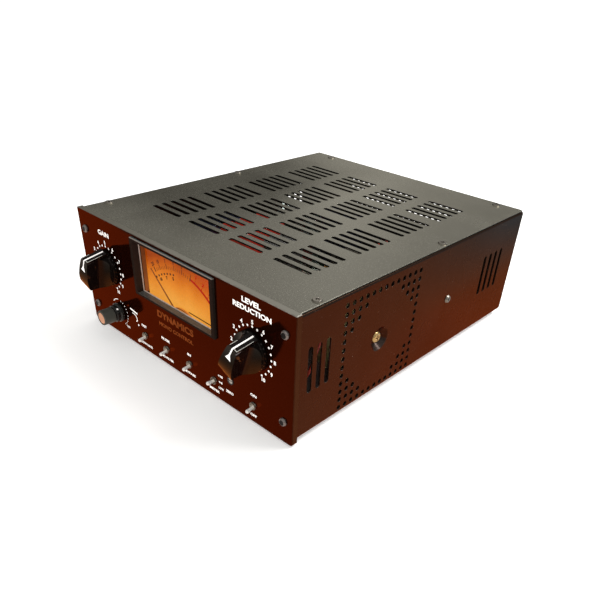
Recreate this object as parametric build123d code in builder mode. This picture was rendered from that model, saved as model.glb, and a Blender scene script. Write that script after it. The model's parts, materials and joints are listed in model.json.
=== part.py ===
"""Half-rack valve compressor: folded case, front panel with a meter, knobs and toggles,
toroidal transformer, valve board and rear connectors.

Frame: x to the right seen from the front, y to the rear, z up. The unit stands on z = 0
and the origin lies under the middle of its overall length.
Sizes below use panel coordinates: x, y behind the panel's face, z above its lower edge.
"""
from build123d import *
import os
from math import sin, cos, radians, hypot

os.makedirs("parts", exist_ok=True)

# ================================================================ driving dimensions (mm)
PANEL_W, PANEL_H, PANEL_T = 217.0, 88.0, 4.0      # two-unit-high front panel
BODY_D = 253.0                                    # panel face to the rear edge of the case
CASE_HALF_W = 107.2
SHEET = 1.2                                       # case sheet thickness
COVER_T = 1.0
COVER_HALF_W = 106.7
COVER_TOP = 87.6
CASE_BOTTOM = 2.6
FOOT_H = 3.6
KNOB_H = 19.7                                     # pointer knobs, above the panel
REAR_PROUD = 4.2                                  # fuse drawer beyond the rear edge

CASE_TOP = COVER_TOP - COVER_T
CASE_INNER = CASE_HALF_W - SHEET                  # inner face of a side
FLOOR_TOP = CASE_BOTTOM + SHEET
INNER_TOP = CASE_TOP - SHEET                      # underside of the top flanges
REAR_OUTER = BODY_D - 1.2                         # outer and inner face of the rear panel
REAR_INNER = REAR_OUTER - SHEET

# screws: radii of shanks, snug holes and clearance holes
SCREW_R, SNUG_R, CLEAR_R = 1.5, 1.55, 1.6
REAR_COVER_SCREWS = [(side * 86.4, 247.0) for side in (-1, 1)]                           # x, y
COVER_SCREWS = [(side * 102.3, y) for side in (-1, 1) for y in (21.8, 144.9)] + REAR_COVER_SCREWS
PANEL_SCREWS = [(side * 100.6, z) for side in (-1, 1) for z in (15.2, 74.1)]             # x, z
REAR_PANEL_SCREWS = [(side * 100.0, z) for side in (-1, 1) for z in (22.0, 66.0)]        # x, z
SIDE_SCREW_POS = (158.0, 44.0)                                                           # y, z

# power transformer, its axis parallel to x
TOROID_POS = (78.5, 43.0)                         # y, z of the axis
TOROID_R, TOROID_BORE_R = 32.3, 12.5
TOROID_LEFT, TOROID_RIGHT = 74.0, 104.5

# controls: x, z on the panel; angles in degrees, counter-clockwise from +X
GAIN_POS, GAIN_ANGLE = (-76.9, 52.3), 72.0
REDUCTION_POS, REDUCTION_ANGLE = (74.4, 52.4), 66.0
KNOB_HOLE_R = 4.75
EMPHASIS_POS, EMPHASIS_H, EMPHASIS_HOLE_R = (-69.5, 20.0), 16.0, 3.55
TRIM_POS = (53.8, 20.6)
TOGGLE_Z, TOGGLE_TILT, TOGGLE_PIVOT = 12.5, 13.0, 3.0
TOGGLES = (                                       # lever, x, degrees tipped downwards
    ("toggle_lever_1", -39.3, TOGGLE_TILT),
    ("toggle_lever_2", -13.8, TOGGLE_TILT),
    ("toggle_lever_3", 11.8, TOGGLE_TILT),
    ("meter_toggle_lever", 37.3, 0.0),
    ("power_toggle_lever", 74.6, TOGGLE_TILT),
)
TOGGLE_X = [x for _, x, _ in TOGGLES]

# meter: x, z pairs on the panel
METER_CENTRE = (0.15, 65.65)
BEZEL_W, BEZEL_H, BEZEL_PROUD = 84.5, 40.7, 1.7
WINDOW_W, WINDOW_H = 78.0, 36.8
SPIGOT_W, SPIGOT_H = 80.8, 39.2                   # part of the bezel inside the panel opening
NEEDLE_PIVOT = (-0.5, 31.5)
NEEDLE_L, NEEDLE_REST = 47.3, 47.5                # rest angle, left of vertical

# rear connectors, all centred at one height
INPUT_X, OUTPUT_X, LINK_X, INLET_X, REAR_Z = -78.0, -42.0, -12.0, 62.0, 28.0
SOCKET_SCREW_OFFSETS = ((-9.5, 12.0), (9.5, -12.0))
SOCKET_SCREWS = [(socket_x + dx, REAR_Z + dz)
                 for socket_x in (INPUT_X, OUTPUT_X) for dx, dz in SOCKET_SCREW_OFFSETS]
INLET_SCREWS = [(INLET_X + side * 20.0, REAR_Z) for side in (-1, 1)]

# ================================================================ helpers
FRONT, REAR = (0, -1, 0), (0, 1, 0)
UP, DOWN = (0, 0, 1), (0, 0, -1)
RIGHT, LEFT = (1, 0, 0), (-1, 0, 0)

FRAME_Y = (BODY_D + REAR_PROUD - KNOB_H) / 2      # origin, in panel coordinates
FRAME_Z = FOOT_H - CASE_BOTTOM                    # panel's lower edge above the resting plane


def place(x, y, z):
    """Panel coordinates turned into the frame's."""
    return (x, y - FRAME_Y, z + FRAME_Z)


def along(point, direction, distance):
    return tuple(start + distance * step for start, step in zip(point, direction))


def face(y, x=0, z=0):
    """Plane parallel to the front panel: local y up, normal to the front."""
    return Plane(origin=place(x, y, z), x_dir=RIGHT, z_dir=FRONT)


def level(z, x=0, y=0):
    """Horizontal plane: local y to the rear, normal up."""
    return Plane(origin=place(x, y, z), x_dir=RIGHT, z_dir=UP)


def right(x, y=0, z=0):
    """Plane parallel to the sides: local x to the rear, local y up, normal +X."""
    return Plane(origin=place(x, y, z), x_dir=REAR, z_dir=RIGHT)


def block(x0, x1, y0, y1, z0, z1, mode=Mode.ADD):
    with Locations(place((x0 + x1) / 2, (y0 + y1) / 2, (z0 + z1) / 2)):
        Box(x1 - x0, y1 - y0, z1 - z0, mode=mode)


def rod(start, direction, radius, length, mode=Mode.ADD):
    with Locations(Plane(origin=place(*start), z_dir=direction)):
        Cylinder(radius, length, align=(Align.CENTER, Align.CENTER, Align.MIN), mode=mode)


# A sketch made inside a function doesn't join the caller's part, so it is handed over.
def hexagon(start, direction, radius, length, mode=Mode.ADD):
    with BuildSketch(Plane(origin=place(*start), z_dir=direction)) as outline:
        RegularPolygon(radius, 6)
    extrude(outline.sketch, amount=length, mode=mode)


def disc(plane, radius):
    with BuildSketch(plane) as outline:
        Circle(radius)
    return outline.sketch


def cross_recess(start, direction, radius, depth, width=0.7):
    """Cross-shaped recess cut from start along direction."""
    with BuildSketch(Plane(origin=place(*start), z_dir=direction)) as outline:
        Rectangle(2 * radius, width)
        Rectangle(width, 2 * radius)
    extrude(outline.sketch, amount=depth, mode=Mode.SUBTRACT)


def cross_screw(seat, outward, shank, head_r, head_h, taper, recess_r, recess_depth):
    """Screw with a tapered head whose underside is centred at seat."""
    rod(along(seat, outward, -shank), outward, SCREW_R, shank + 0.1)
    extrude(disc(Plane(origin=place(*seat), z_dir=outward), head_r), amount=head_h, taper=taper)
    inward = tuple(-step for step in outward)
    cross_recess(along(seat, outward, head_h), inward, recess_r, recess_depth)


def save(builder, name):
    builder.part.label = name
    export_step(builder.part, f"parts/{name}.step")


# ================================================================ case
FLANGE_X = (94.0, 106.2)                          # inner and outer edge of the end flanges
REAR_CORNER_R = 4.2
DISH_DEPTH = 4.0
PERFORATION_R = 1.75
FRONT_SLOTS = [(13.5 + 7.5 * i, 48.5) for i in range(3)]        # y, z on the sides
REAR_SLOTS = [(205.0 + 8.0 * i, 47.75) for i in range(4)]
SIDE_PERFORATION = [(y, z)
                    for y in (42.8 + 6.06 * i for i in range(13))
                    for z in (7.0 + 6.0 * j for j in range(13))
                    if hypot(y - TOROID_POS[0], z - TOROID_POS[1]) > 33.5]
REAR_PERFORATION = [(-60.0 + 6.0 * i, 54.0 + 6.0 * j) for i in range(21) for j in range(5)]
FLOOR_SLOTS = [(-50.0 + 12 * i, y) for y in (60.0, 120.0, 180.0) for i in range(5)]


def side_slots():
    with Locations(*FRONT_SLOTS):
        SlotOverall(31.0, 4.0, rotation=90)
    with Locations(*REAR_SLOTS):
        SlotOverall(31.5, 4.0, rotation=90)


# Folded tub: floor, two sides, inward flanges along the top and at the front and rear edges.
with BuildPart() as chassis_tub:
    with BuildSketch(face(BODY_D)) as tub_profile:
        with Locations((0, (CASE_BOTTOM + CASE_TOP) / 2)):
            Rectangle(2 * CASE_HALF_W, CASE_TOP - CASE_BOTTOM)
        fillet(tub_profile.vertices(), 2.0)
        with Locations((0, (CASE_BOTTOM + CASE_TOP) / 2)):
            Rectangle(2 * CASE_INNER, INNER_TOP - FLOOR_TOP, mode=Mode.SUBTRACT)
        with Locations((0, COVER_TOP)):
            Rectangle(2 * (CASE_HALF_W - 12.5), 6, mode=Mode.SUBTRACT)
    extrude(amount=BODY_D - PANEL_T)
    # front and rear flanges
    for side in (-1, 1):
        x0, x1 = sorted(side * x for x in FLANGE_X)
        block(x0, x1, PANEL_T, PANEL_T + SHEET, FLOOR_TOP, INNER_TOP)
        block(x0, x1, REAR_INNER - SHEET, REAR_INNER, FLOOR_TOP, INNER_TOP)
    # rounded lower rear corners
    with BuildSketch(right(-CASE_HALF_W - 1)):
        with BuildLine():
            arc_start = (BODY_D + 0.1, CASE_BOTTOM + 4)
            arc_end = (BODY_D - 4, CASE_BOTTOM - 0.1)
            Polyline(arc_end, (BODY_D + 0.1, CASE_BOTTOM - 0.1), arc_start)
            RadiusArc(arc_start, arc_end, REAR_CORNER_R)
        make_face()
    extrude(amount=2 * CASE_HALF_W + 2, mode=Mode.SUBTRACT)
    # dished seat for the transformer bolt, pressed into the right side
    loft([disc(right(CASE_INNER - DISH_DEPTH, *TOROID_POS), 5.9),
          disc(right(CASE_INNER, *TOROID_POS), 9.4)])
    loft([disc(right(CASE_HALF_W - DISH_DEPTH, *TOROID_POS), 5.0),
          disc(right(CASE_HALF_W + 0.01, *TOROID_POS), 8.5)], mode=Mode.SUBTRACT)
    # right side: slots, perforation around the transformer, bolt and screw holes
    with BuildSketch(right(CASE_INNER - 5.5)):
        side_slots()
        with Locations(*SIDE_PERFORATION):
            Circle(PERFORATION_R)
        with Locations(TOROID_POS):
            Circle(2.6)
        with Locations(SIDE_SCREW_POS):
            Circle(CLEAR_R)
    extrude(amount=SHEET + 6, mode=Mode.SUBTRACT)
    # left side: the same slots
    with BuildSketch(right(-CASE_HALF_W - 0.5)):
        side_slots()
    extrude(amount=SHEET + 1, mode=Mode.SUBTRACT)
    # floor vents under the valve board
    with BuildSketch(level(CASE_BOTTOM - 0.5)):
        with Locations(*FLOOR_SLOTS):
            SlotOverall(31.0, 4.0, rotation=90)
    extrude(amount=SHEET + 1, mode=Mode.SUBTRACT)
    # screw holes in the flanges
    for x, z in PANEL_SCREWS:
        rod((x, PANEL_T - 0.5, z), REAR, SNUG_R, SHEET + 1, mode=Mode.SUBTRACT)
    for x, y in COVER_SCREWS:
        rod((x, y, COVER_TOP - 4), UP, SNUG_R, 4, mode=Mode.SUBTRACT)
    for x, z in REAR_PANEL_SCREWS:
        rod((x, BODY_D - 4.5, z), REAR, SNUG_R, 3, mode=Mode.SUBTRACT)
save(chassis_tub, "chassis_tub")

# Rear panel: flat sheet with a forward flange along its top edge.
with BuildPart() as rear_panel:
    with BuildSketch(face(REAR_OUTER)):
        with Locations((0, (FLOOR_TOP + INNER_TOP) / 2)):
            RectangleRounded(2 * (CASE_INNER - 0.2), INNER_TOP - FLOOR_TOP - 0.4, 0.8)
    extrude(amount=SHEET)
    block(-94.0, 94.0, BODY_D - 14.0, BODY_D - 1.8, INNER_TOP - 0.2, CASE_TOP)
    block(-94.0, 94.0, REAR_INNER, REAR_OUTER, CASE_TOP - 4, CASE_TOP)
    with BuildSketch(face(BODY_D - 1.0)):
        with Locations((INPUT_X, REAR_Z), (OUTPUT_X, REAR_Z)):
            Circle(12.1)
        with Locations((LINK_X, REAR_Z)):
            Circle(4.85)
        with Locations((INLET_X, REAR_Z)):
            RectangleRounded(28.8, 33.4, 0.6)
        with Locations(*INLET_SCREWS, *SOCKET_SCREWS):
            Circle(CLEAR_R)
        # notch for the latch button
        with Locations((INPUT_X, REAR_Z + 13.2)):
            Rectangle(8.0, 5.4)
        with Locations(*REAR_PERFORATION):
            Circle(PERFORATION_R)
        with Locations(*REAR_PANEL_SCREWS):
            Circle(CLEAR_R)
    extrude(amount=2.0, mode=Mode.SUBTRACT)
    for x, y in REAR_COVER_SCREWS:
        rod((x, y, COVER_TOP - 4), UP, SNUG_R, 4, mode=Mode.SUBTRACT)
save(rear_panel, "rear_panel")

# Front panel: thick plate with openings for every control.
with BuildPart() as front_panel:
    with BuildSketch(face(PANEL_T)) as plate:
        with Locations((0, PANEL_H / 2)):
            Rectangle(PANEL_W, PANEL_H)
        fillet(plate.vertices().group_by(Axis.Y)[0], 2.4)
        fillet(plate.vertices().group_by(Axis.Y)[-1], 1.0)
        with Locations(METER_CENTRE):
            Rectangle(SPIGOT_W + 0.2, SPIGOT_H + 0.2, mode=Mode.SUBTRACT)
        with Locations(*PANEL_SCREWS):
            Circle(1.65, mode=Mode.SUBTRACT)
        with Locations(GAIN_POS, REDUCTION_POS):
            Circle(KNOB_HOLE_R, mode=Mode.SUBTRACT)
        with Locations(EMPHASIS_POS):
            Circle(EMPHASIS_HOLE_R, mode=Mode.SUBTRACT)
        with Locations(*[(x, TOGGLE_Z) for x in TOGGLE_X]):
            Circle(2.4, mode=Mode.SUBTRACT)
        with Locations(TRIM_POS):
            Circle(2.75, mode=Mode.SUBTRACT)
    extrude(amount=PANEL_T)
    # the four longest edges of the front face are the plate's outer ones
    front_edges = front_panel.edges().filter_by(Plane.XZ).group_by(Axis.Y)[0]
    chamfer(front_edges.sort_by(SortBy.LENGTH)[-4:], 0.35)
save(front_panel, "front_panel")

# Top cover: flat sheet with sixteen groups of five slots.
COVER_FRONT = 4.2
COVER_SLOTS = [(-62.25 + 41.5 * column, 43.3 + 46 * group + 7.6 * i)
               for column in range(4) for group in range(4) for i in range(5)]
with BuildPart() as top_cover:
    with BuildSketch(level(CASE_TOP)) as sheet:
        with Locations((0, (COVER_FRONT + BODY_D) / 2)):
            Rectangle(2 * COVER_HALF_W, BODY_D - COVER_FRONT)
        fillet(sheet.vertices().group_by(Axis.Y)[-1], 2.5)
        with Locations(*COVER_SLOTS):
            SlotOverall(31.0, 3.6, mode=Mode.SUBTRACT)
        with Locations(*COVER_SCREWS):
            Circle(CLEAR_R, mode=Mode.SUBTRACT)
    extrude(amount=COVER_T)
    chamfer(top_cover.faces().sort_by(Axis.Z)[-1].outer_wire().edges(), 0.3)
save(top_cover, "top_cover")

with BuildPart() as cover_screws:
    for x, y in COVER_SCREWS:
        cross_screw((x, y, COVER_TOP), UP, shank=5.5, head_r=3.15, head_h=0.9, taper=28,
                    recess_r=1.6, recess_depth=0.7)
save(cover_screws, "cover_screws")

# Four button-head screws with hexagon sockets.
with BuildPart() as panel_screws:
    for x, z in PANEL_SCREWS:
        rod((x, -0.5, z), REAR, SCREW_R, 9.5)
        extrude(disc(face(0, x, z), 2.75), amount=0.7)
        loft([disc(face(-0.7, x, z), 2.75),
              disc(face(-1.3, x, z), 2.4),
              disc(face(-1.7, x, z), 1.75)])
        hexagon((x, -1.7, z), REAR, 1.42, 1.9, mode=Mode.SUBTRACT)
save(panel_screws, "panel_screws")

# Screw that holds the regulator bracket to the right side.
with BuildPart() as side_screw:
    cross_screw((CASE_HALF_W, *SIDE_SCREW_POS), RIGHT, shank=6.0, head_r=3.0, head_h=1.1,
                taper=30, recess_r=1.5, recess_depth=0.8)
save(side_screw, "side_screw")

with BuildPart() as feet:
    for x in (-92.0, 92.0):
        for y in (22.0, 232.0):
            loft([disc(level(CASE_BOTTOM - FOOT_H, x, y), 6.5),
                  disc(level(CASE_BOTTOM, x, y), 7.5)])
save(feet, "feet")

# ================================================================ power transformer
toroid_y, toroid_z = TOROID_POS
PAD_T, WASHER_T = 1.5, 1.6
PAD_LEFT = TOROID_LEFT - PAD_T
with BuildPart() as toroid_transformer:
    with BuildSketch(level(toroid_z, 0, toroid_y)):
        with Locations(((TOROID_LEFT + TOROID_RIGHT) / 2, (TOROID_BORE_R + TOROID_R) / 2)):
            RectangleRounded(TOROID_RIGHT - TOROID_LEFT, TOROID_R - TOROID_BORE_R, 5.5)
    revolve(axis=Axis(place(0, toroid_y, toroid_z), RIGHT), revolution_arc=360)
save(toroid_transformer, "toroid_transformer")

with BuildPart() as toroid_pads:
    for x in (PAD_LEFT, TOROID_RIGHT):
        with BuildSketch(right(x, *TOROID_POS)):
            Circle(27.0)
            Circle(TOROID_BORE_R, mode=Mode.SUBTRACT)
        extrude(amount=PAD_T)
save(toroid_pads, "toroid_pads")

with BuildPart() as toroid_washer:
    extrude(disc(right(PAD_LEFT - WASHER_T, *TOROID_POS), 25.0), amount=WASHER_T)
    rod((65.5, *TOROID_POS), RIGHT, 5.5, 5.5)
    washer_circles = toroid_washer.edges().filter_by(GeomType.CIRCLE)
    fillet(washer_circles.sort_by(SortBy.RADIUS)[-1], 0.6)
    rod((65.0, *TOROID_POS), RIGHT, 2.55, 9.0, mode=Mode.SUBTRACT)
save(toroid_washer, "toroid_washer")

# The bolt's head sits in the dish of the right side.
BOLT_HEAD_R = 4.0
BOLT_END = CASE_HALF_W - 1.4
with BuildPart() as toroid_bolt:
    rod((63.0, *TOROID_POS), RIGHT, 2.5, 40.3)
    extrude(disc(right(CASE_HALF_W - DISH_DEPTH, *TOROID_POS), BOLT_HEAD_R), amount=1.5)
    loft([disc(right(CASE_HALF_W - 2.5, *TOROID_POS), BOLT_HEAD_R),
          disc(right(CASE_HALF_W - 1.7, *TOROID_POS), 3.2),
          disc(right(BOLT_END, *TOROID_POS), 2.2)])
    cross_recess((BOLT_END, *TOROID_POS), LEFT, radius=2.0, depth=1.5, width=0.9)
save(toroid_bolt, "toroid_bolt")

# ================================================================ electronics
BOARD_Z, BOARD_T = 12.0, 1.6
BOARD_TOP = BOARD_Z + BOARD_T
STANDOFFS = [(x, y) for x in (-98.0, 14.0) for y in (48.0, 141.0, 234.0)]
VALVES = [(-42.0, 68.0), (-76.0, 68.0), (-30.0, 160.0), (-64.0, 160.0)]
ELECTROLYTICS = [(-90.0, 100.0), (-90.0, 126.0), (-18.0, 200.0), (-46.0, 200.0)]
with BuildPart() as main_board:
    block(-104.0, 20.0, 42.0, 240.0, BOARD_Z, BOARD_TOP)
    for x, y in STANDOFFS:
        rod((x, y, BOARD_Z - 1), UP, CLEAR_R, 4, mode=Mode.SUBTRACT)
save(main_board, "main_board")

with BuildPart() as board_standoffs:
    for x, y in STANDOFFS:
        hexagon((x, y, FLOOR_TOP), UP, 3.2, BOARD_Z - FLOOR_TOP)
        rod((x, y, BOARD_Z - 6), UP, SNUG_R, 7, mode=Mode.SUBTRACT)
save(board_standoffs, "board_standoffs")

BOARD_HEAD_H = 1.8
with BuildPart() as board_screws:
    for x, y in STANDOFFS:
        rod((x, y, BOARD_Z - 4), UP, SCREW_R, 5.7)
        rod((x, y, BOARD_TOP), UP, 2.8, BOARD_HEAD_H)
        cross_recess((x, y, BOARD_TOP + BOARD_HEAD_H), DOWN, radius=1.5, depth=1.0)
    fillet(board_screws.edges().filter_by(GeomType.CIRCLE).group_by(Axis.Z)[-1], 0.5)
save(board_screws, "board_screws")

BULB_Z = BOARD_Z + 10.0                           # top of the sockets
with BuildPart() as valve_sockets:
    for x, y in VALVES:
        rod((x, y, BOARD_TOP), UP, 11.0, BULB_Z - BOARD_TOP)
        rod((x, y, BOARD_Z + 4.0), UP, 2.0, 7.0, mode=Mode.SUBTRACT)
        with BuildSketch(level(BOARD_Z + 4.0)) as pins:
            with Locations((x, y)):
                with PolarLocations(6.0, 9, start_angle=20, angular_range=320, endpoint=True):
                    Circle(0.7)
        extrude(pins.sketch, amount=7.0, mode=Mode.SUBTRACT)
save(valve_sockets, "valve_sockets")

# Glass bulbs: thin shells closed by a thick base.
BULB_R, BULB_H = 10.2, 47.0
HOLLOW_R, HOLLOW_H, BULB_BASE = 9.2, 44.0, 2.0
with BuildPart() as valve_bulbs:
    for x, y in VALVES:
        with BuildSketch(face(y, x, BULB_Z)) as bulb:
            Rectangle(BULB_R, BULB_H, align=(Align.MIN, Align.MIN))
            fillet(bulb.vertices().sort_by_distance((BULB_R, BULB_H))[0], 9.0)
        revolve(bulb.sketch, axis=Axis(place(x, y, 0), UP), revolution_arc=360)
    for x, y in VALVES:
        with BuildSketch(face(y, x, BULB_Z + BULB_BASE)) as hollow:
            Rectangle(HOLLOW_R, HOLLOW_H, align=(Align.MIN, Align.MIN))
            fillet(hollow.vertices().sort_by_distance((HOLLOW_R, HOLLOW_H))[0], 8.0)
        revolve(hollow.sketch, axis=Axis(place(x, y, 0), UP), revolution_arc=360,
                mode=Mode.SUBTRACT)
save(valve_bulbs, "valve_bulbs")

# Inside each bulb: stem, boxed plates between two discs, thin rod with a small disc on top.
with BuildPart() as valve_electrodes:
    for x, y in VALVES:
        rod((x, y, BULB_Z + BULB_BASE), UP, 1.2, 4.0)
        block(x - 6.5, x + 6.5, y - 3.4, y + 3.4, BULB_Z + 6, BULB_Z + 30)
        rod((x, y, BULB_Z + 30), UP, 7.2, 0.8)
        rod((x, y, BULB_Z + 5.2), UP, 7.2, 0.8)
        rod((x, y, BULB_Z + 30.8), UP, 0.5, 7.0)
        rod((x, y, BULB_Z + 37.8), UP, 4.5, 0.6)
save(valve_electrodes, "valve_electrodes")

with BuildPart() as film_capacitors:
    for y in (92.0, 107.0, 122.0):
        block(-64.0, -34.0, y, y + 12.0, BOARD_TOP, 66.0)
    fillet(film_capacitors.edges().filter_by(Axis.Z), 1.5)
    fillet(film_capacitors.faces().group_by(Axis.Z)[-1].edges(), 1.0)
save(film_capacitors, "film_capacitors")

ELECTROLYTIC_H = 45.0
with BuildPart() as electrolytic_capacitors:
    for x, y in ELECTROLYTICS:
        rod((x, y, BOARD_TOP), UP, 11.0, ELECTROLYTIC_H)
    fillet(electrolytic_capacitors.edges().filter_by(GeomType.CIRCLE).group_by(Axis.Z)[-1], 1.2)
    for x, y in ELECTROLYTICS:
        cross_recess((x, y, BOARD_TOP + ELECTROLYTIC_H), DOWN, radius=7.5, depth=0.4, width=0.8)
save(electrolytic_capacitors, "electrolytic_capacitors")

CELL_BASE_H = 9.0
with BuildPart() as optical_cell:
    rod((-6.0, 104.0, BOARD_TOP), UP, 16.5, CELL_BASE_H)
    rod((-6.0, 104.0, BOARD_TOP + CELL_BASE_H), UP, 15.0, 44.0)
    fillet(optical_cell.edges().filter_by(GeomType.CIRCLE).group_by(Axis.Z)[-1], 2.0)
save(optical_cell, "optical_cell")

with BuildPart() as input_transformer:
    rod((-82.0, 206.0, BOARD_TOP), UP, 15.0, 36.0)
    fillet(input_transformer.edges().filter_by(GeomType.CIRCLE).group_by(Axis.Z)[-1], 1.5)
save(input_transformer, "input_transformer")

# Output transformer: core, winding through it and a block down to the floor.
with BuildPart() as output_transformer:
    with BuildSketch(face(140.0)):
        with Locations((48.0, 36.5)):
            RectangleRounded(44.0, 52.0, 1.0)
    extrude(amount=18.0)
    block(33.0, 63.0, 114.0, 148.0, 17.0, 56.0)
    block(26.0, 70.0, 126.0, 136.0, FLOOR_TOP, 11.0)
save(output_transformer, "output_transformer")

# Regulator bracket: plate against the right side with three cooling fins and a transistor.
BRACKET_Z = (32.0, 56.0)
with BuildPart() as regulator_bracket:
    block(103.4, CASE_INNER, 145.0, 171.0, *BRACKET_Z)
    for y in (147.0, 154.0, 168.0):
        block(86.0, 103.6, y, y + 1.4, *BRACKET_Z)
    block(99.0, 103.4, 160.0, 166.5, 36.0, 52.0)
    rod((100.0, *SIDE_SCREW_POS), RIGHT, SNUG_R, 9.0, mode=Mode.SUBTRACT)
save(regulator_bracket, "regulator_bracket")

# ================================================================ meter
meter_x, meter_z = METER_CENTRE
pivot_x, pivot_z = NEEDLE_PIVOT
SPIGOT_D = 3.5
with BuildPart() as meter_bezel:
    with BuildSketch(face(0)):
        with Locations(METER_CENTRE):
            RectangleRounded(BEZEL_W, BEZEL_H, 1.2)
            Rectangle(WINDOW_W, WINDOW_H, mode=Mode.SUBTRACT)
    extrude(amount=BEZEL_PROUD)
    chamfer(meter_bezel.faces().sort_by(Axis.Y)[0].outer_wire().edges(), 0.5)
    with BuildSketch(face(SPIGOT_D)):
        with Locations(METER_CENTRE):
            Rectangle(SPIGOT_W, SPIGOT_H)
            Rectangle(WINDOW_W, WINDOW_H, mode=Mode.SUBTRACT)
    extrude(amount=SPIGOT_D)
save(meter_bezel, "meter_bezel")

GLASS_T = 1.5
with BuildPart() as meter_glass:
    with BuildSketch(face(SPIGOT_D + GLASS_T)):
        with Locations(METER_CENTRE):
            RectangleRounded(SPIGOT_W - 0.2, SPIGOT_H - 0.2, 0.6)
    extrude(amount=GLASS_T)
save(meter_glass, "meter_glass")

# Moulded body behind the panel, open to the window.
with BuildPart() as meter_body:
    block(meter_x - 44.0, meter_x + 44.0, PANEL_T, 34.0, 24.5, 86.2)
    block(meter_x - 42.6, meter_x + 42.6, 5.2, 32.6, 26.0, 85.0, mode=Mode.SUBTRACT)
    block(meter_x - SPIGOT_W / 2, meter_x + SPIGOT_W / 2, PANEL_T - 1, 6.0,
          meter_z - SPIGOT_H / 2, meter_z + SPIGOT_H / 2, mode=Mode.SUBTRACT)
    # four corner ribs behind the dial
    for side in (-1, 1):
        rib_x = meter_x + side * 41.0
        for z0, z1 in ((27.0, 34.0), (76.0, 84.0)):
            block(rib_x - 1.8, rib_x + 1.8, 10.4, 33.0, z0, z1)
    # block behind the movement
    block(pivot_x - 9.0, pivot_x + 9.0, 27.0, 33.0, 26.0, 38.0)
save(meter_body, "meter_body")

with BuildPart() as meter_dial:
    with BuildSketch(face(10.3)):
        with Locations((meter_x, 56.0)):
            Rectangle(84.6, 57.6)
        with Locations(NEEDLE_PIVOT):
            Circle(4.0, mode=Mode.SUBTRACT)
    extrude(amount=0.8)
save(meter_dial, "meter_dial")

with BuildPart() as meter_movement:
    rod((pivot_x, 13.0, pivot_z), REAR, 4.6, 14.0)
    with BuildSketch(face(24.0)):
        with Locations(NEEDLE_PIVOT):
            Rectangle(30.0, 9.6)
            Circle(3.2, mode=Mode.SUBTRACT)
    extrude(amount=9.0)
    rod((pivot_x, 12.0, pivot_z), REAR, 0.9, 12.0, mode=Mode.SUBTRACT)
save(meter_movement, "meter_movement")

# Hump-shaped shield in front of the pivot, standing on two pillars.
SHIELD_LEFT, SHIELD_RIGHT = pivot_x - 17.0, pivot_x + 17.0
SHIELD_BOTTOM, SHIELD_SHOULDER, SHIELD_TOP = 27.4, 36.0, 47.0
with BuildPart() as movement_cover:
    with BuildSketch(face(6.9)):
        with BuildLine():
            Polyline((SHIELD_LEFT, SHIELD_BOTTOM), (SHIELD_RIGHT, SHIELD_BOTTOM),
                     (SHIELD_RIGHT, SHIELD_SHOULDER))
            ThreePointArc((SHIELD_RIGHT, SHIELD_SHOULDER), (pivot_x, SHIELD_TOP),
                          (SHIELD_LEFT, SHIELD_SHOULDER))
            Line((SHIELD_LEFT, SHIELD_SHOULDER), (SHIELD_LEFT, SHIELD_BOTTOM))
        make_face()
    extrude(amount=1.2)
    for side in (-1, 1):
        rod((pivot_x + side * 14.0, 6.8, 28.9), REAR, 1.4, 2.7)
save(movement_cover, "movement_cover")

LAMP_R = 2.4
with BuildPart() as meter_lamps:
    for side in (-1, 1):
        lamp_tip = (meter_x + side * 30.0, 16.0, 76.0)
        rod(lamp_tip, REAR, LAMP_R, 16.6)
        with Locations(place(*lamp_tip)):
            Sphere(LAMP_R)
save(meter_lamps, "meter_lamps")

# Outline of the needle: distance from the pivot, offset across
NEEDLE_OUTLINE = [
    (-4.7, -1.1), (-2.0, -0.6), (NEEDLE_L - 12, -0.32), (NEEDLE_L, -0.2),
    (NEEDLE_L, 0.2), (NEEDLE_L - 12, 0.32), (-2.0, 0.6), (-4.7, 1.1),
]
needle_angle = radians(90.0 + NEEDLE_REST)
with BuildPart() as vu_needle:
    with BuildSketch(Plane(origin=place(pivot_x, 8.4, pivot_z),
                           x_dir=(cos(needle_angle), 0, sin(needle_angle)), z_dir=FRONT)):
        with BuildLine():
            Polyline(*NEEDLE_OUTLINE, close=True)
        make_face()
        Circle(2.2)
    extrude(amount=0.5)
    rod((pivot_x, 7.4, pivot_z), REAR, 0.85, 10.0)
save(vu_needle, "vu_needle")

# ================================================================ controls behind the panel
POTENTIOMETERS = (                                # position, radii of body, bore and bushing
    (GAIN_POS, 8.5, 3.06, 4.7),
    (REDUCTION_POS, 8.5, 3.06, 4.7),
    (EMPHASIS_POS, 6.2, 2.06, 3.5),
)
with BuildPart() as potentiometers:
    for (x, z), body_r, bore_r, bushing_r in POTENTIOMETERS:
        rod((x, PANEL_T, z), REAR, body_r, 11.0)
        rod((x, -3.4, z), REAR, bushing_r, 8.0)
        block(x - 5.5, x + 5.5, 9.0, 10.2, z - body_r - 4.0, z - body_r + 1.0)
        rod((x, -4.0, z), REAR, bore_r, 16.0, mode=Mode.SUBTRACT)
save(potentiometers, "potentiometers")

CONTROL_NUTS = (                                  # position, hole radius, corner radius, height
    (GAIN_POS, KNOB_HOLE_R, 6.9, 2.2),
    (REDUCTION_POS, KNOB_HOLE_R, 6.9, 2.2),
    (EMPHASIS_POS, EMPHASIS_HOLE_R, 5.2, 1.8),
)
with BuildPart() as control_nuts:
    for (x, z), hole_r, corner_r, height in CONTROL_NUTS:
        hexagon((x, 0.0, z), FRONT, corner_r, height)
        rod((x, 0.5, z), FRONT, hole_r, 4.0, mode=Mode.SUBTRACT)
save(control_nuts, "control_nuts")

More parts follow.
